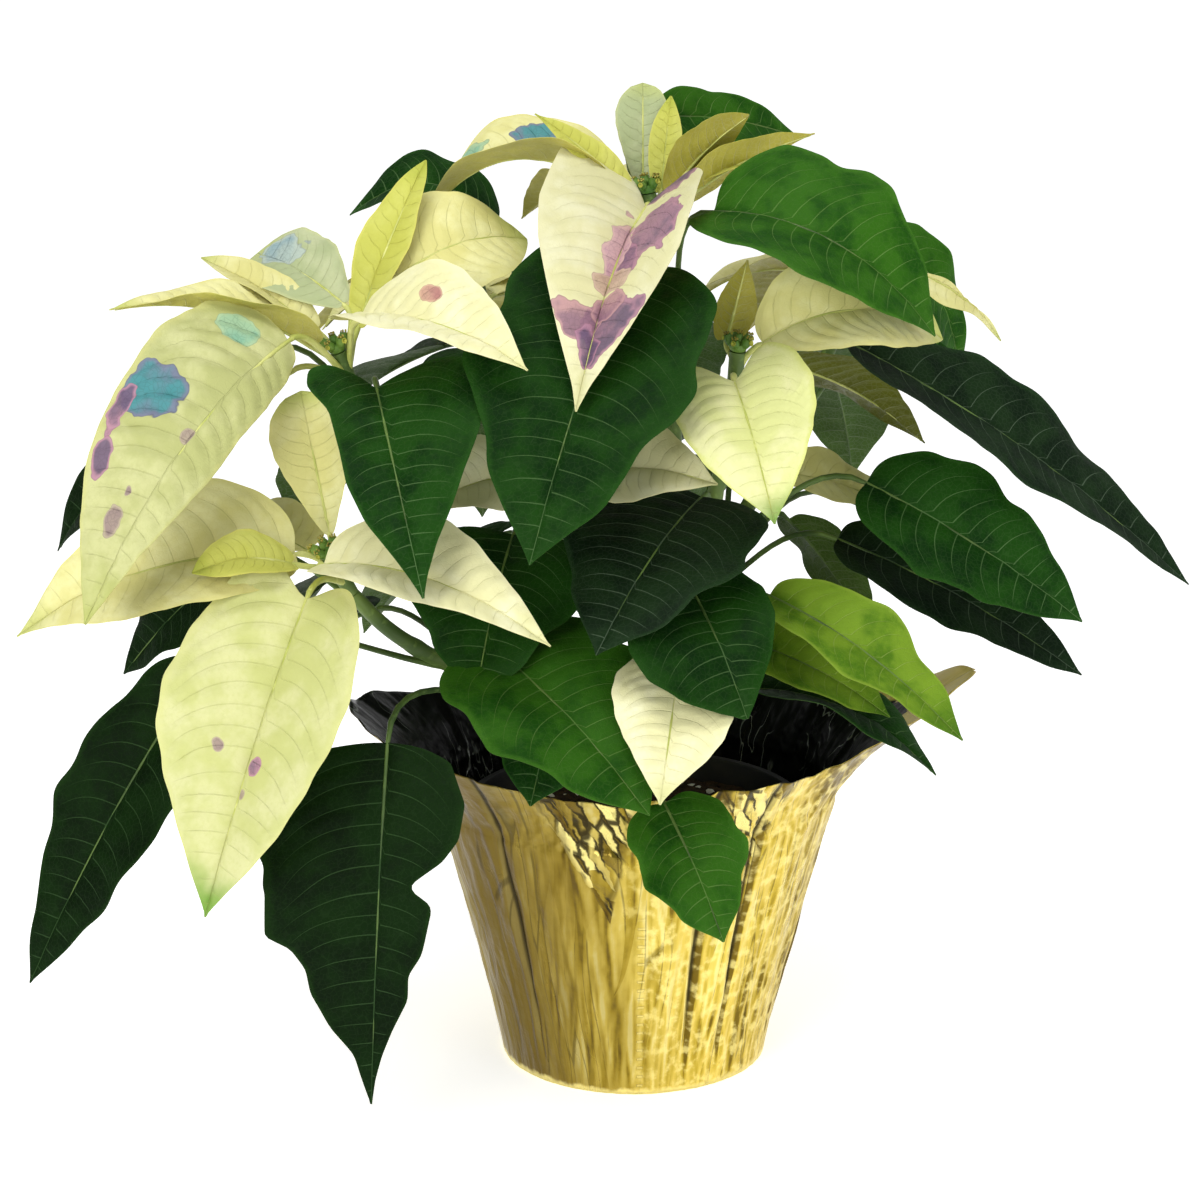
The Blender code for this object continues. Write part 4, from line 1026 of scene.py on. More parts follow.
def half_width(blade, u):
    """Half the blade's width in metres at u, from 0 at its base to 1 at its tip."""
    round_base, long_tip = blade.form
    peak = round_base / (round_base + long_tip)
    shape = u**round_base * (1 - u) ** long_tip / (peak**round_base * (1 - peak) ** long_tip)
    if blade.teeth:
        shape = shape * (1 - blade.tooth * (0.5 + 0.5 * np.cos(2 * math.pi * blade.teeth * u)))
    return np.maximum(0.5 * blade.width * MM * shape, TIP_HALF)


def outline(blade, look, u):
    """The blade's left and right half width in metres at u, with the small unevenness of a real margin."""
    if not look.outline:
        half = half_width(blade, u)
        sway = 0.03 * np.sin(9.0 * u + sum(blade.tip)) + 0.012 * np.sin(47.0 * u)
        return half * (1 + sway), half * (1 - sway)
    rows = np.array(look.outline)
    sides = []
    for k in (1, 2):
        width = np.interp(u, rows[:, 0], rows[:, k]) * MM
        padded = np.concatenate([width[:1], width, width[-1:]])
        sides.append(np.convolve(padded, (0.25, 0.5, 0.25), "valid"))
    return sides


def midrib(blade):
    """The midrib's four control points, the way across the blade, and its upper side's direction."""
    base, tip = np.array(blade.base) * MM, np.array(blade.tip) * MM
    along = unit(tip - base)
    up = unit(np.array(blade.faces) - (np.array(blade.faces) @ along) * along)
    lift = up * blade.bow * MM * 4 / 3
    controls = (base, base + (tip - base) / 3 + lift, base + (tip - base) * 2 / 3 + lift, tip)
    return controls, np.cross(along, up), up


def wave_phase(blade):
    """Where the margin's waves start, from 0 to a full turn."""
    return sum(blade.tip) % (2 * math.pi)


def waver(x, y, seed, size):
    """Smooth random heights from -1 to 1 over a sheet, with lumps of the given size in metres."""
    return np.array([noise.noise(Vector((a / size, b / size, seed))) for a, b in zip(x.ravel(), y.ravel())]).reshape(x.shape)


def blade_grid(blade, look, bract):
    """The blade's middle surface: its points, upward directions, and the values that its shader reads."""
    controls, across, _ = midrib(blade)
    length = float(np.linalg.norm(np.subtract(blade.tip, blade.base)))
    rows = int(np.clip(length / STEP_ALONG, 20, 110))
    columns = 2 * int(np.clip(blade.width / STEP_ACROSS / 2, 4, 20))
    u = np.linspace(0, 1, rows + 1) ** 1.3
    v = np.linspace(-1, 1, columns + 1)
    place, way = bezier(controls, u)
    up = np.cross(across, way)
    left, right = outline(blade, look, u)
    on_left = (v < 0)[None, :]
    half = np.where(on_left, left[:, None], right[:, None])
    folds = look.folds or (blade.fold, blade.fold)
    fold = np.radians(np.where(on_left, folds[0], folds[1]))
    share, uu = np.abs(v)[None, :], u[:, None]
    phase = wave_phase(blade)
    ripple = blade.wave * MM * np.sin(math.pi * uu) * np.sin(
        WAVE_HALF_TURNS * math.pi * uu + phase + np.where(on_left, 0.0, 1.9)
    )
    x = uu * length * MM + 0 * share
    y = v[None, :] * half
    lobe = np.where(on_left, look.lobes[0], look.lobes[1]) * MM
    back = lobe * share**1.5 * (uu / LOBE_PLACE) * np.exp(1 - uu / LOBE_PLACE)
    x = x - back
    widest = np.where(on_left, left.max(), right.max())
    forward = 0.12 * np.abs(y) + 0.65 * widest * (np.abs(y) / widest) ** 3
    pitch = 0.9 * length * MM / (LATERALS * (0.55 + 0.45 * length / 100))
    seed = (phase * 7.3) % 10
    lateral = (x - forward) / pitch + np.where(on_left, 0.0, 0.45) + 0.3 * waver(x, 0.002 * np.sign(y), seed, 0.02)
    depth = (BRACT_QUILT if bract else LEAF_QUILT) * look.quilt
    fade = np.clip(share * 5, 0, 1) * np.clip((1 - share) * 5, 0, 1) * np.clip(uu * 12, 0, 1) * np.clip((1 - uu) * 4, 0, 1)
    quilt = depth * MM * fade * (np.abs(np.sin(math.pi * lateral)) ** 0.8 - 0.6)
    quilt = quilt * np.clip(pitch / 0.007, 0.5, 1.0)
    groove = 0.5 * MM * np.exp(-((np.abs(y) / (1.1 * MM)) ** 2)) * np.clip(half / (4 * MM), 0, 1)
    lump = 0.0009 * waver(x, y, seed, 0.022) + 0.0004 * look.quilt**2 * waver(x, y, seed + 3, 0.007)
    lump = lump * np.clip(half / (10 * MM), 0, 1)
    height = (
        half * np.sin(fold) * (1 - 0.5 * uu) * share
        + look.curl * half * (share - share**2)
        + ripple * share**2 * (half > TIP_HALF)
        + quilt - groove + lump
    )
    aside = y * np.cos(fold)
    points = place[:, None, :] + across * aside[..., None] + up[:, None, :] * height[..., None] - way[:, None, :] * back[..., None]
    ups = np.broadcast_to(up[:, None, :], points.shape)
    values = {
        "place": (uu + 0 * share, v[None, :] + 0 * uu),
        "span": np.stack([x / MM, y / MM, lateral], axis=-1),
        "grain": (pitch / MM, 0.93 + 0.1 * math.sin(phase * 3.1), seed),
    }
    return points, ups, values, (place, way, across)


def add_sheet(shape, points, ups, values, slot=0):
    """Adds a thin closed sheet: the upper and lower faces with a rim between them."""
    rows, columns = points.shape[:2]
    edge = np.abs(np.linspace(-1, 1, columns))[None, :, None] ** 6
    thick = ups * SHEET * 0.5 * (1 - 0.6 * edge)
    count = rows * columns
    top, low = (points + thick).reshape(-1, 3), (points - thick).reshape(-1, 3)
    index = np.arange(count).reshape(rows, columns)
    a, b, c, d = index[:-1, :-1], index[:-1, 1:], index[1:, 1:], index[1:, :-1]
    # Triangles, so that the upper and lower face are split along the same diagonal and never cross
    corners = np.concatenate([np.stack([a, b, c], -1).reshape(-1, 3), np.stack([a, c, d], -1).reshape(-1, 3)]).tolist()
    faces = [tuple(t) for t in corners] + [tuple(count + i for i in reversed(t)) for t in corners]
    border = np.concatenate([index[0, :], index[1:, -1], index[-1, -2::-1], index[-2:0:-1, 0]]).tolist()
    for i, j in zip(border, border[1:] + border[:1]):
        faces.append((j, i, count + i, count + j))
    u, v = (part.ravel() for part in np.broadcast_arrays(*values["place"]))
    place = np.concatenate([np.stack([u, v, 0 * u], -1), np.stack([u, v, 0 * u + 1], -1)])
    span = np.tile(values["span"].reshape(-1, 3), (2, 1))
    grain = np.tile(values["grain"], (2 * count, 1))
    shape.add(np.vstack([top, low]), faces, slot, place=place, span=span, grain=grain)


def add_stalk(shape, blade, root, frame_line, slot=1):
    """Adds the petiole from the stem to the blade and on as the rib under it, which thins to the tip."""
    place, way, across = frame_line
    reach = np.linalg.norm(place[0] - root)
    bends = (root, root + 0.4 * (place[0] - root) + (0, 0, 0.004), place[0] - way[0] * reach * 0.35, place[0])
    stalk, stalk_way = bezier(bends, np.linspace(0, 1, 12)[:-1])
    keep = np.linspace(0, len(place) - 2, 22).astype(int)
    under = np.cross(across, way[keep]) * 0.0006
    route = np.vstack([stalk, place[keep] - under])
    ways = np.vstack([stalk_way, way[keep]])
    swell = 1 + 0.5 * np.exp(-np.arange(len(stalk)) / 1.5)
    radii = np.concatenate([PETIOLE_RADIUS * swell, RIB_RADIUS * (1 - 0.8 * np.linspace(0, 1, len(keep)))])
    side = across
    for before, after in zip(ways[::-1], ways[::-1][1:]):
        side = unit(turned(side, before, after))
    points = tube_points(route, ways, radii, 8, side)
    shape.add(points, rings(points), slot)


def make_blade(name, node, blade, look, root, bract, stalk):
    shape = Shape()
    points, ups, values, line = blade_grid(blade, look, bract)
    add_sheet(shape, points, ups, values)
    add_stalk(shape, blade, root, line)
    finish = blade_finish(look, "bract" if bract else "leaf", name)
    obj = shape.make(name, (finish, stalk))
    settle(obj, "bract" if bract else "leaf", node)
    return obj


def blade_finish(look, slot, name):
    """The blade's material, which blades of one kind share unless they have stains of their own."""
    title = f"stained_{name}" if look.stains else f"{slot}_{look.kind}"
    found = bpy.data.materials.get(title)
    return found or blade_material(title, PALETTES[look.kind], look.stains, slot == "leaf")


def settle(obj, slot, *nodes):
    """The piece rides on the plant's one body and stands for its nodes; its slot is not used."""
    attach(obj, "root")
    if nodes:
        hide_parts(*nodes)


def stem_route(shoot):
    """The stem's route in metres from the trunk's surface to the head's top, and its direction at the foot."""
    route = [np.array(p) * MM for p in shoot.route]
    if shoot.foot:
        out = unit((*shoot.route[0][:2], 0))
        start = out * (TRUNK_RADIUS + GAP) + (0, 0, shoot.foot * MM)
        return [start, start + out * TRUNK_RADIUS + (0, 0, 0.003), *route], out
    return [np.array((0, 0, TRUNK_TOP + GAP)), *route], np.array((0, 0, 1.0))


def split_route(shoot):
    """The places along the leafy stem and along the head's own stem, with the directions of their ends."""
    route, foot_way = stem_route(shoot)
    place, way = smooth_route(route, 40)
    top, top_way = place[-1], way[-1]
    keep = np.linalg.norm(place - top, axis=1) > HEAD_STEM * 1.3
    neck = top - top_way * HEAD_STEM
    leafy, _ = smooth_route([*place[keep][::6], neck - top_way * GAP], 8)
    return leafy, np.array([neck, (neck + top) / 2, top]), foot_way, top_way


def stem_shell(shape, leafy, foot_way, top_way, joints):
    """A round stem that swells a little where each leaf joins it."""
    route, ways = smooth_route(leafy, 60)
    ways[0], ways[-1] = foot_way, top_way
    radii = np.linspace(STEM_FOOT_RADIUS, STEM_TOP_RADIUS, 60)
    for joint in joints:
        radii = radii * (1 + 0.16 * np.exp(-(((np.arange(60) - joint * 59) / 1.2) ** 2)))
    points = tube_points(route, ways, radii, STEM_SIDES)
    shape.add(points, rings(points))


def make_shoot(name, shoot, finishes):
    leafy, head, foot_way, way = split_route(shoot)
    stem = Shape()
    stem_shell(stem, leafy, foot_way, way, [b.at for b in shoot.leaves])
    obj = stem.make("stem_" + name, (finishes["stem"],))
    settle(obj, "leaf", "leafy_stem_" + name)
    roots = smooth_route(leafy, 101)[0]
    for b in shoot.leaves:
        look = LOOKS.get(name + "." + b.name, Look("dark"))
        make_blade(f"leaf_{name}_{b.name}", "leafy_stem_" + name, b, look, roots[int(b.at * 100)], False, finishes["petiole"])
    core = Shape()
    route, ways = smooth_route(head, 12)
    points = tube_points(route, ways, np.linspace(0.0031, 0.0036, 12), STEM_SIDES)
    core.add(points, rings(points))
    obj = core.make("head_stem_" + name, (finishes["stem"],))
    settle(obj, "bract", "bract_head_" + name)
    for b in shoot.bracts:
        look = LOOKS.get(name + "." + b.name, Look("cream"))
        root = head[0] + (0.1 + 0.65 * b.at) * (head[-1] - head[0])
        make_blade(f"bract_{name}_{b.name}", "bract_head_" + name, b, look, root, True, finishes["bract_stalk"])
    make_flowers("flowers_" + name, head[-1] + way * GAP, way, finishes)


def lathe(foot, way, profile, sides, ribs=0, rib_depth=0.0):
    """Rings of points round an axis that starts at foot. Profile lists radius and height along the axis."""
    side = unit(np.cross(way, (0.3, 1.0, 0.2)))
    other = np.cross(way, side)
    angles = 2 * math.pi * np.arange(sides) / sides
    made = []
    for radius, height in profile:
        r = radius * (1 + rib_depth * np.cos(ribs * angles))
        made.append(foot + way * height + r[:, None] * (np.cos(angles)[:, None] * side + np.sin(angles)[:, None] * other))
    return np.array(made)[:, ::-1]


CUP = ((0.0003, 0.0), (0.0013, 0.0004), (0.0019, 0.0015), (0.0022, 0.0028), (0.0021, 0.0040), (0.0016, 0.0050),
       (0.0017, 0.0056), (0.0012, 0.0057), (0.0009, 0.0050), (0.0002, 0.0048))
DISC = ((0.0032, 0.0), (0.0037, 0.0010), (0.0042, 0.0024), (0.0040, 0.0032), (0.0022, 0.0036), (0.0003, 0.0034))
GLAND = ((0.0002, 0.0), (0.0007, 0.0001), (0.0012, 0.0006), (0.0013, 0.0011), (0.0010, 0.0012), (0.0007, 0.0008), (0.0002, 0.0006))
ANTHER = ((0.0001, 0.0), (0.00016, 0.0012), (0.0004, 0.0014), (0.00045, 0.0018), (0.0001, 0.0021))


def make_flowers(name, foot, way, finishes):
    """The small flower cups in the middle of a head, each with a yellow gland and a tuft of anthers."""
    shape = Shape()
    spin = unit(np.cross(way, (1.0, 0.2, 0.0)))
    other = np.cross(way, spin)
    disc = lathe(foot, way, DISC, 20)
    shape.add(disc, rings(disc))
    for k in range(6):
        turn = 2 * math.pi * k / 5
        out = spin * math.cos(turn) + other * math.sin(turn)
        middle = k == 5
        low = foot + way * (0.0028 if middle else 0.0016) + (0 if middle else out * 0.0026)
        lean = way if middle else unit(way + 0.55 * out)
        size = 0.8 if middle else 0.92 + 0.08 * math.sin(2.3 * k)
        cup = lathe(low, lean, [(r * size, h * size) for r, h in CUP], 20, 5, 0.05)
        shape.add(cup, rings(cup))
        gland_foot = low + lean * 0.0036 * size + out * 0.0016 * size
        gland = lathe(gland_foot, unit(out + 0.3 * lean), [(r * size, h * size) for r, h in GLAND], 12)
        shape.add(gland, rings(gland), 1)
        for j in range(5):
            angle = 2 * math.pi * j / 5 + k
            aside = spin * math.cos(angle) + other * math.sin(angle)
            stamen = lathe(low + lean * 0.0048 * size + aside * 0.0006, unit(lean + 0.35 * aside), ANTHER, 6)
            shape.add(stamen, rings(stamen), 2)
    obj = shape.make(name.replace("flowers", "flower_cups"), (finishes["cup"], finishes["gland"], finishes["anther"]))
    settle(obj, "flower", name)


def angle_gap(a, b):
    return (a - b + 180) % 360 - 180


def rim_share(angle):
    """How far the rim stands out at this angle, as a share of the highest peak."""
    share = max(h * math.exp(-((angle_gap(angle, a) / w) ** 2)) for a, h, w in RIM_PEAKS)
    return share + sum(h * math.exp(-((angle_gap(angle, a) / w) ** 2)) for a, h, w in RIM_TRIMS)


def rim_point(angle):
    """The extra reach of the highest peak's sharp point."""
    middle, half, share = RIM_POINT
    return share * max(0.0, 1 - abs(angle_gap(angle, middle)) / half)


def facets(place, seed):
    """Height from 0 to 1 of sharp folds with flat sides between them, one fold for each whole step of place."""
    step = math.floor(place)
    heights = [(math.sin(12.9898 * (step + k) + seed) * 437.585) % 1.0 for k in (0, 1)]
    return heights[0] + (heights[1] - heights[0]) * (place - step)


def fold_height(angle, level):
    """How far the folds stand out at a place, in metres: wide pleats, narrower folds and fine streaks."""
    turn = math.radians(angle)
    height = 0.0
    for count, depth, lean, seed in FOIL_FOLDS:
        drift = lean * level + 0.5 * noise.noise(Vector((turn * 3, level * 1.4, seed)))
        unevenness = 0.35 * math.sin(turn * 5 + seed)
        height += depth * (facets((angle % 360) / 360 * count + drift + unevenness, seed) - 0.5)
    return height


def slit_share(angle, level):
    """How near a deep slit this place is, from 0 to 1."""
    wander = 1.2 * noise.noise(Vector((level * 1.6, round(angle / 12), 9.0)))
    near = min(abs(angle_gap(angle + wander, slit)) for slit in FOIL_SLITS)
    return math.exp(-((near / SLIT_WIDTH) ** 2)) * min(1.0, 2.5 * level)


def gather_share(angle, level):
    """How far inside the gathered stretch this place is, from 0 to 1."""
    if level <= GATHER_LOW:
        return 0.0
    half = GATHER_HALF * (level - GATHER_LOW) / (2 - GATHER_LOW)
    return math.exp(-((angle_gap(angle, GATHER_ANGLE - 6 * (level - 1)) / half) ** 4))


def foil_point(angle, level):
    """Radius, height and crease of the foil's outer face, from level 0 at the foot to 2 at the rim."""
    turn = math.radians(angle)
    soft = min(1.0, 0.25 + 4 * level) * (1.0 if level < 1 else 1.0 - 0.35 * (level - 1))
    slit, gather = slit_share(angle, level), gather_share(angle, level)
    spot = Vector((math.cos(turn) * 10, math.sin(turn) * 10, level * 2.6))
    folds = abs(noise.noise(spot * 0.9)) + 0.5 * abs(noise.noise(spot * 2.3 + Vector((3, 1, 2))))
    if level <= 1:
        radius = FOOT_RADIUS + (FOIL_BODY_RADIUS - FOOT_RADIUS) * level**1.15
        height = FOIL_BODY_TOP * level
    else:
        t, share = level - 1, rim_share(angle) + rim_point(angle)
        radius = FOIL_BODY_RADIUS + (RIM_LOW_RADIUS + RIM_PEAK_REACH * share - FOIL_BODY_RADIUS) * t**1.5
        height = FOIL_BODY_TOP + (RIM_LOW_HEIGHT + RIM_PEAK_RISE * share - FOIL_BODY_TOP) * t
        height += 0.0030 * t**2 * noise.noise(Vector((turn * 7, 1.0, 1.0)))
    crumple = (0.45 - folds) * 2 * CRUMPLE
    strip = facets(angle / GATHER_STRIP, 3.0) - 0.5
    radius += soft * (fold_height(angle, level) + crumple - SLIT_DEPTH * slit) + gather * strip * GATHER_DEPTH
    return radius, height, slit


def hem_share(angle, level):
    """1 on the turned-over hem of the rim and 0 elsewhere."""
    reach = HEM_DEPTH * max(0.0, 1 - abs(angle_gap(angle, HEM_ANGLE)) / HEM_HALF)
    return float(level > 2 - reach * (0.8 + 0.4 * noise.noise(Vector((angle * 0.08, 0.0, 5.0)))))


def foil_reach(angle, level):
    """How far up along the foil's side a level is, in millimetres."""
    share = rim_share(angle)
    out = RIM_LOW_RADIUS + RIM_PEAK_REACH * share - FOIL_BODY_RADIUS
    rise = RIM_LOW_HEIGHT + RIM_PEAK_RISE * share - FOIL_BODY_TOP
    body = math.hypot(FOIL_BODY_RADIUS - FOOT_RADIUS, FOIL_BODY_TOP)
    return (body * min(level, 1.0) + math.hypot(out, rise) * max(0.0, level - 1.0)) / MM


def make_foil(finish):
    """The foil wrap as one crumpled sheet with a gold outside and a silver inside painted near black as shade."""
    angles = [90 + 360 * k / FOIL_COLUMNS for k in range(FOIL_COLUMNS)]
    step = 2 * math.pi / FOIL_COLUMNS
    outer, inner, place, press = [], [], [], []
    for level in np.linspace(0, 2, FOIL_ROWS + 1):
        rows = [foil_point(angle, level) for angle in angles]
        for k, (angle, (radius, height, crease)) in enumerate(zip(angles, rows)):
            turn = math.radians(angle)
            out = np.array((math.cos(turn), math.sin(turn), 0.0))
            lift = FOIL_THICK * 0.5 * max(0.0, level - 1)
            outer.append(out * radius + (0, 0, height))
            inner.append(out * (radius - FOIL_THICK) + (0, 0, max(height, FOIL_THICK) + lift))
            place.append((turn * FOIL_MIDDLE, foil_reach(angle, level), 0.0))
            # The slope of the folds, which the shader turns into painted light and shade on the facets
            shading_slope = (rows[(k + 1) % FOIL_COLUMNS][0] - rows[k - 1][0]) / (2 * step * radius)
            press.append((crease, hem_share(angle, level), shading_slope))
    count = FOIL_COLUMNS
    faces, shift = [], len(outer)
    for row in range(FOIL_ROWS):
        for k in range(count):
            a, b = row * count + k, row * count + (k + 1) % count
            c, d = a + count, b + count
            faces.append((a, b, d, c))
            faces.append((shift + a, shift + c, shift + d, shift + b))
    top = FOIL_ROWS * count
    for k in range(count):
        a, b = top + k, top + (k + 1) % count
        faces.append((a, b, shift + b, shift + a))
    middle = 2 * shift
    for k in range(count):
        n = (k + 1) % count
        faces.append((middle, n, k))
        faces.append((middle + 1, shift + k, shift + n))
    points = outer + inner + [np.array((0, 0, 0)), np.array((0, 0, FOIL_THICK))]
    place = np.array(place + [(x, y, 1.0) for x, y, _ in place] + [(0, 0, 0), (0, 0, 1)])
    press = np.array(press + press + [(0, 0, 0), (0, 0, 0)])
    shape = Shape()
    shape.add(points, faces, place=place, press=press)
    settle(shape.make("foil", (finish,), 180.0), "foil", "foil_wrap")


def pot_radius(height):
    """Outer radius of the nursery pot's wall at a height above the floor."""
    return POT_FOOT_RADIUS + (POT_TOP_RADIUS - POT_FOOT_RADIUS) * height / POT_HEIGHT


def make_pot(finish):
    """The nursery pot as a smooth turned shell with a rolled lip and drain holes."""
    lip = POT_HEIGHT - POT_LIP_HEIGHT
    inside = [(pot_radius(h) - POT_WALL, h) for h in np.linspace(POT_HEIGHT - 0.001, POT_LOW + 0.004, 10)]
    profile = [
        (0.002, POT_LOW),
        (pot_radius(POT_LOW) - 0.002, POT_LOW),
        (pot_radius(POT_LOW), POT_LOW + 0.001),
        *[(pot_radius(h), h) for h in np.linspace(0.004, lip - 0.001, 12)],
        (pot_radius(lip) + POT_LIP - 0.0005, lip),
        (pot_radius(lip) + POT_LIP, lip + 0.0006),
        (pot_radius(POT_HEIGHT) + POT_LIP, POT_HEIGHT - 0.0006),
        (pot_radius(POT_HEIGHT) + POT_LIP - 0.0006, POT_HEIGHT),
        (pot_radius(POT_HEIGHT) - POT_WALL + 0.0004, POT_HEIGHT),
        *inside,
        (pot_radius(POT_LOW) - POT_WALL - 0.002, POT_LOW + POT_WALL),
        (0.002, POT_LOW + POT_WALL),
    ]
    points = lathe(np.zeros(3), np.array((0, 0, 1.0)), profile, 96)
    shape = Shape()
    shape.add(points, rings(points))
    obj = shape.make("pot", (finish,), 35.0)
    for k in range(4):
        turn = math.pi * (k + 0.5) / 2
        middle = np.array((DRAIN_CIRCLE * math.cos(turn), DRAIN_CIRCLE * math.sin(turn), -0.005))
        cutter = Shape()
        rod = lathe(middle, np.array((0, 0, 1.0)), ((DRAIN_RADIUS, 0), (DRAIN_RADIUS, 0.02)), 24)
        cutter.add(rod, rings(rod))
        cut(obj, cutter.make("cutter", ()))
    settle(obj, "pot", "nursery_pot")


def cut(body, cutter):
    """Takes the cutter out of the body and removes the cutter."""
    hole = body.modifiers.new("cut", "BOOLEAN")
    hole.operation, hole.solver, hole.object = "DIFFERENCE", "MANIFOLD", cutter
    bpy.context.view_layer.update()
    graph = bpy.context.evaluated_depsgraph_get()
    body.data = bpy.data.meshes.new_from_object(body.evaluated_get(graph))
    body.modifiers.clear()
    bpy.data.objects.remove(cutter)


def make_soil(finish, perlite):
    """Crumbly soil round the trunk, with grains of bark and perlite on it."""
    shape = Shape()
    low = POT_LOW + POT_WALL + GAP
    inside = POT_WALL + GAP
    around = 96
    profile = [(TRUNK_RADIUS + GAP, SOIL_TOP - TRUNK_DEPTH), (TRUNK_RADIUS + GAP, SOIL_TOP + SOIL_MOUND)]
    edge = pot_radius(SOIL_TOP) - inside
    profile += [(r, SOIL_TOP + SOIL_MOUND * (1 - ((r - 0.01) / (edge - 0.01)) ** 2)) for r in np.linspace(0.011, edge, 26)]
    profile += [(pot_radius(h) - inside, h) for h in np.linspace(SOIL_TOP - 0.004, low, 8)]
    profile += [(0.002, low), (0.002, SOIL_TOP - TRUNK_DEPTH)]
    points = lathe(np.zeros(3), np.array((0, 0, 1.0)), profile[::-1], around)
    on_top = points[..., 2] > SOIL_TOP - 0.0005
    rough = np.array([noise.noise(Vector(p * 170)) + 0.6 * noise.noise(Vector(p * 420)) for p in points.reshape(-1, 3)])
    points[..., 2] += on_top * 0.0016 * rough.reshape(on_top.shape)
    shape.add(points, rings(points))
    for k in range(GRANULES):
        turn, far = k * 2.39996, 0.012 + 0.055 * math.sqrt(k / GRANULES)
        size = 0.0008 + 0.0014 * (0.5 + 0.5 * math.sin(k * 5.1))
        height = SOIL_TOP + SOIL_MOUND * (1 - (far / edge) ** 2) + size * 0.2
        middle = np.array((far * math.cos(turn), far * math.sin(turn), height - size))
        lean = unit((math.sin(k * 1.7), math.cos(k * 2.9), 0.8))
        flat = 0.5 + 0.4 * math.sin(k * 3.3)
        grain = lathe(middle, lean, ((size * 0.3, 0), (size, size * flat), (size * 0.8, size * 1.6 * flat), (size * 0.2, size * 2 * flat)), 7, 3, 0.2)
        shape.add(grain, rings(grain), 1 if k % 3 == 0 else 0)
    settle(shape.make("potting_soil", (finish, perlite), 60.0), "soil", "soil")


def make_trunk(finish):
    """The woody trunk, with rough bark and a ring of old leaf scars."""
    foot = SOIL_TOP - TRUNK_DEPTH
    heights = np.linspace(foot, TRUNK_TOP, 70)
    rounding = np.clip((TRUNK_TOP - heights) / 0.004, 0, 1)
    profile = [(TRUNK_RADIUS * (0.75 + 0.25 * math.sqrt(r)), h) for r, h in zip(rounding, heights)]
    points = lathe(np.zeros(3), np.array((0, 0, 1.0)), profile, 40)
    bumps = np.array([noise.noise(Vector((p[0] * 260, p[1] * 260, p[2] * 130))) for p in points.reshape(-1, 3)]).reshape(points.shape[:2])
    rings_up = 0.3 * np.maximum(0, np.sin(points[..., 2] * 620)) ** 6
    scale = 1 + (0.045 * bumps + 0.08 * rings_up - 0.05) * (points[..., 2] > SOIL_TOP)
    points[..., :2] *= scale[..., None]
    shape = Shape()
    shape.add(points, rings(points))
    settle(shape.make("woody_trunk", (finish,), 60.0), "bark", "trunk")


FLOOR_GLOW = 0.6
FLOOR_REACH = 20.0
SKY_TOP, SKY_SIDE, SKY_DARK = 0.55, 0.5, 0.3


def make_floor():
    around = 64
    points = [(0, 0, 0)] + [
        (FLOOR_REACH * math.cos(2 * math.pi * k / around), FLOOR_REACH * math.sin(2 * math.pi * k / around), 0) for k in range(around)
    ]
    faces = [(0, 1 + k, 1 + (k + 1) % around) for k in range(around)]
    shape = Shape()
    shape.add(points, faces)
    floor = shape.make("floor", (floor_material(),))
    floor.location.z = -0.0002


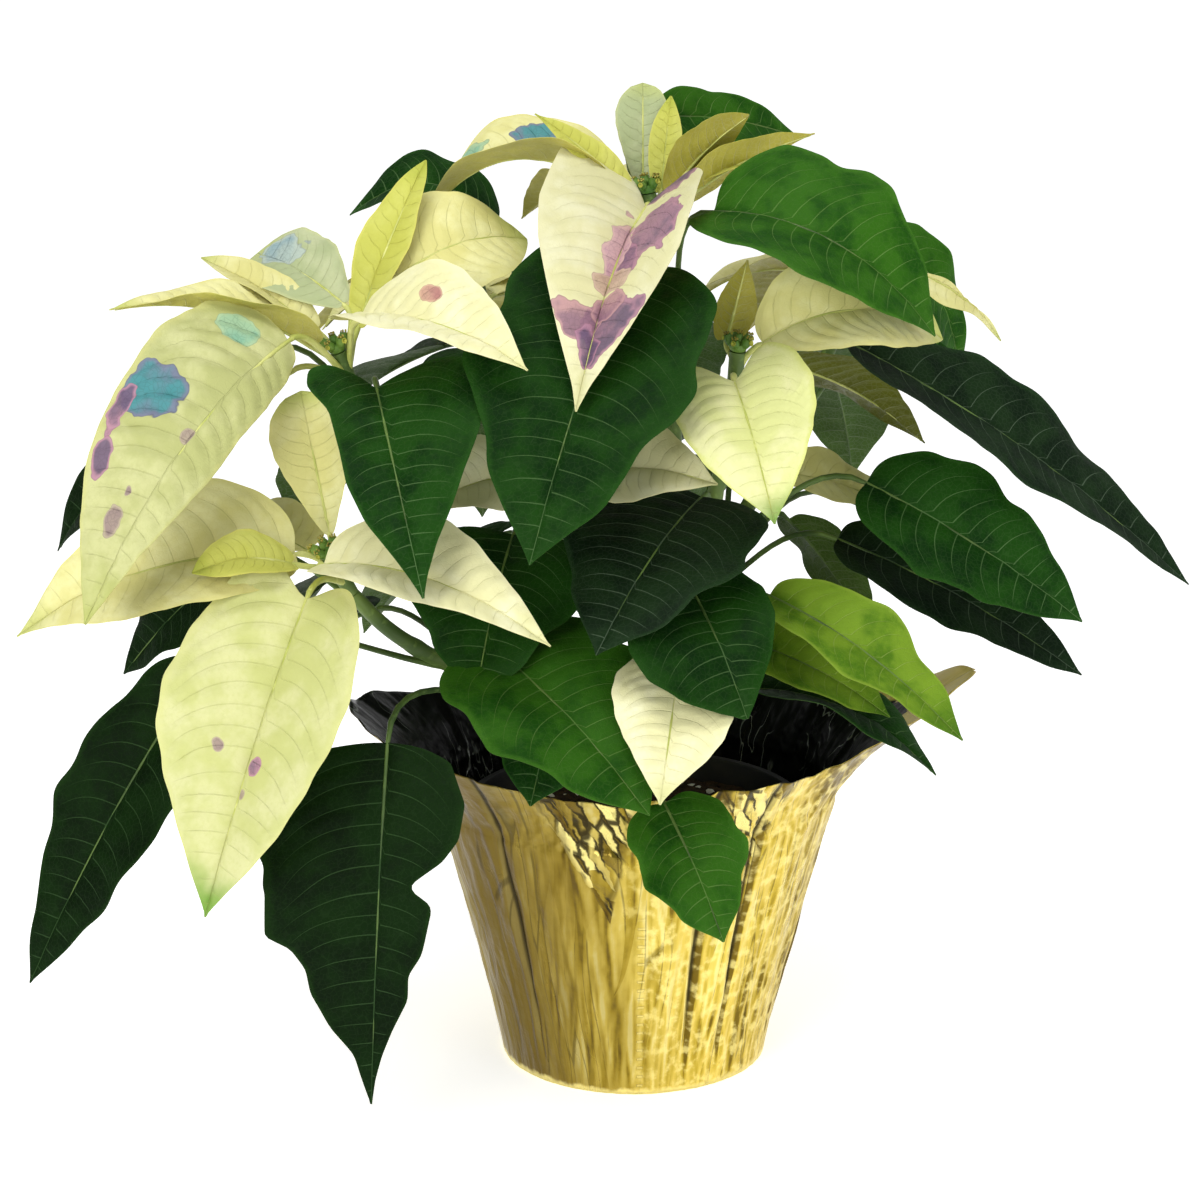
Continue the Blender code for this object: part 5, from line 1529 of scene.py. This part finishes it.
def make_sky():
    """A soft pale studio: white where the camera looks past the floor, and dimmer and darker to the left as light."""
    world = bpy.data.worlds.new("studio")
    bpy.context.scene.world = world
    world.use_nodes = True
    tree = world.node_tree
    nodes, links = tree.nodes, tree.links
    split = nodes.new("ShaderNodeSeparateXYZ")
    links.new(nodes.new("ShaderNodeTexCoord").outputs["Generated"], split.inputs[0])
    rise = nodes.new("ShaderNodeMapRange")
    links.new(split.outputs["Z"], rise.inputs["Value"])
    for socket, value in (("From Min", 0.0), ("From Max", 0.9), ("To Min", SKY_SIDE), ("To Max", SKY_TOP)):
        rise.inputs[socket].default_value = value
    left = nodes.new("ShaderNodeMapRange")
    links.new(split.outputs["X"], left.inputs["Value"])
    for socket, value in (("From Min", -0.4), ("From Max", -1.0), ("To Min", 0.0), ("To Max", SKY_SIDE - SKY_DARK)):
        left.inputs[socket].default_value = value
    light = nodes.new("ShaderNodeMath")
    light.operation = "SUBTRACT"
    links.new(rise.outputs[0], light.inputs[0])
    links.new(left.outputs[0], light.inputs[1])
    seen = nodes.new("ShaderNodeMix")
    path = nodes.new("ShaderNodeLightPath")
    links.new(path.outputs["Is Camera Ray"], seen.inputs[0])
    links.new(light.outputs[0], seen.inputs[2])
    seen.inputs[3].default_value = 1.0
    links.new(seen.outputs[0], nodes["Background"].inputs["Strength"])
    nodes["Background"].inputs["Color"].default_value = (1.0, 1.0, 1.0, 1.0)


# Place, size in metres, power and tint of each soft light, all aimed at the plant's middle
SOFT_LIGHTS = (
    ("key", (-0.8, -1.7, 0.9), 0.8, 12.5, (1.0, 0.99, 0.96)),
    ("fill", (1.3, -1.4, 0.6), 1.2, 6.0, (1.0, 0.99, 0.97)),
    ("top", (-0.2, -0.5, 1.8), 0.9, 11.0, (1.0, 1.0, 1.0)),
)


def aim(obj, target):
    obj.rotation_euler = (Vector(target) - obj.location).to_track_quat("-Z", "Y").to_euler()


def make_lights():
    for name, place, size, power, tint in SOFT_LIGHTS:
        lamp = bpy.data.lights.new(name, "AREA")
        lamp.shape, lamp.size, lamp.energy, lamp.color = "DISK", size, power, tint
        obj = bpy.data.objects.new(name, lamp)
        bpy.context.scene.collection.objects.link(obj)
        obj.location = place
        aim(obj, (0, 0, 0.22))


def make_camera():
    data = bpy.data.cameras.new("camera")
    data.lens, data.sensor_width = CAMERA_LENS, 36.0
    data.clip_end = 100.0
    camera = bpy.data.objects.new("camera", data)
    bpy.context.scene.collection.objects.link(camera)
    camera.location = CAMERA_PLACE
    aim(camera, CAMERA_TARGET)
    bpy.context.scene.camera = camera


def main():
    bpy.context.scene.view_settings.view_transform = "Standard"
    finishes = {
        "stem": stalk_material("stem", (70, 96, 40), (104, 128, 58)),
        "petiole": stalk_material("petiole", (56, 80, 34), (92, 118, 54)),
        "bract_stalk": stalk_material("bract_stalk", (176, 184, 92), (208, 210, 128)),
        "cup": stalk_material("flower_cup", (70, 112, 40), (120, 150, 62)),
        "gland": stalk_material("gland", (150, 156, 52), (186, 182, 72)),
        "anther": stalk_material("anther", (128, 116, 44), (176, 164, 74)),
    }
    for name, shoot in SHOOTS.items():
        make_shoot(name, shoot, finishes)
    make_foil(foil_material())
    make_pot(plastic_material())
    make_soil(soil_material(), perlite_material())
    make_trunk(bark_material())
    make_floor()
    make_sky()
    make_lights()
    make_camera()


main()
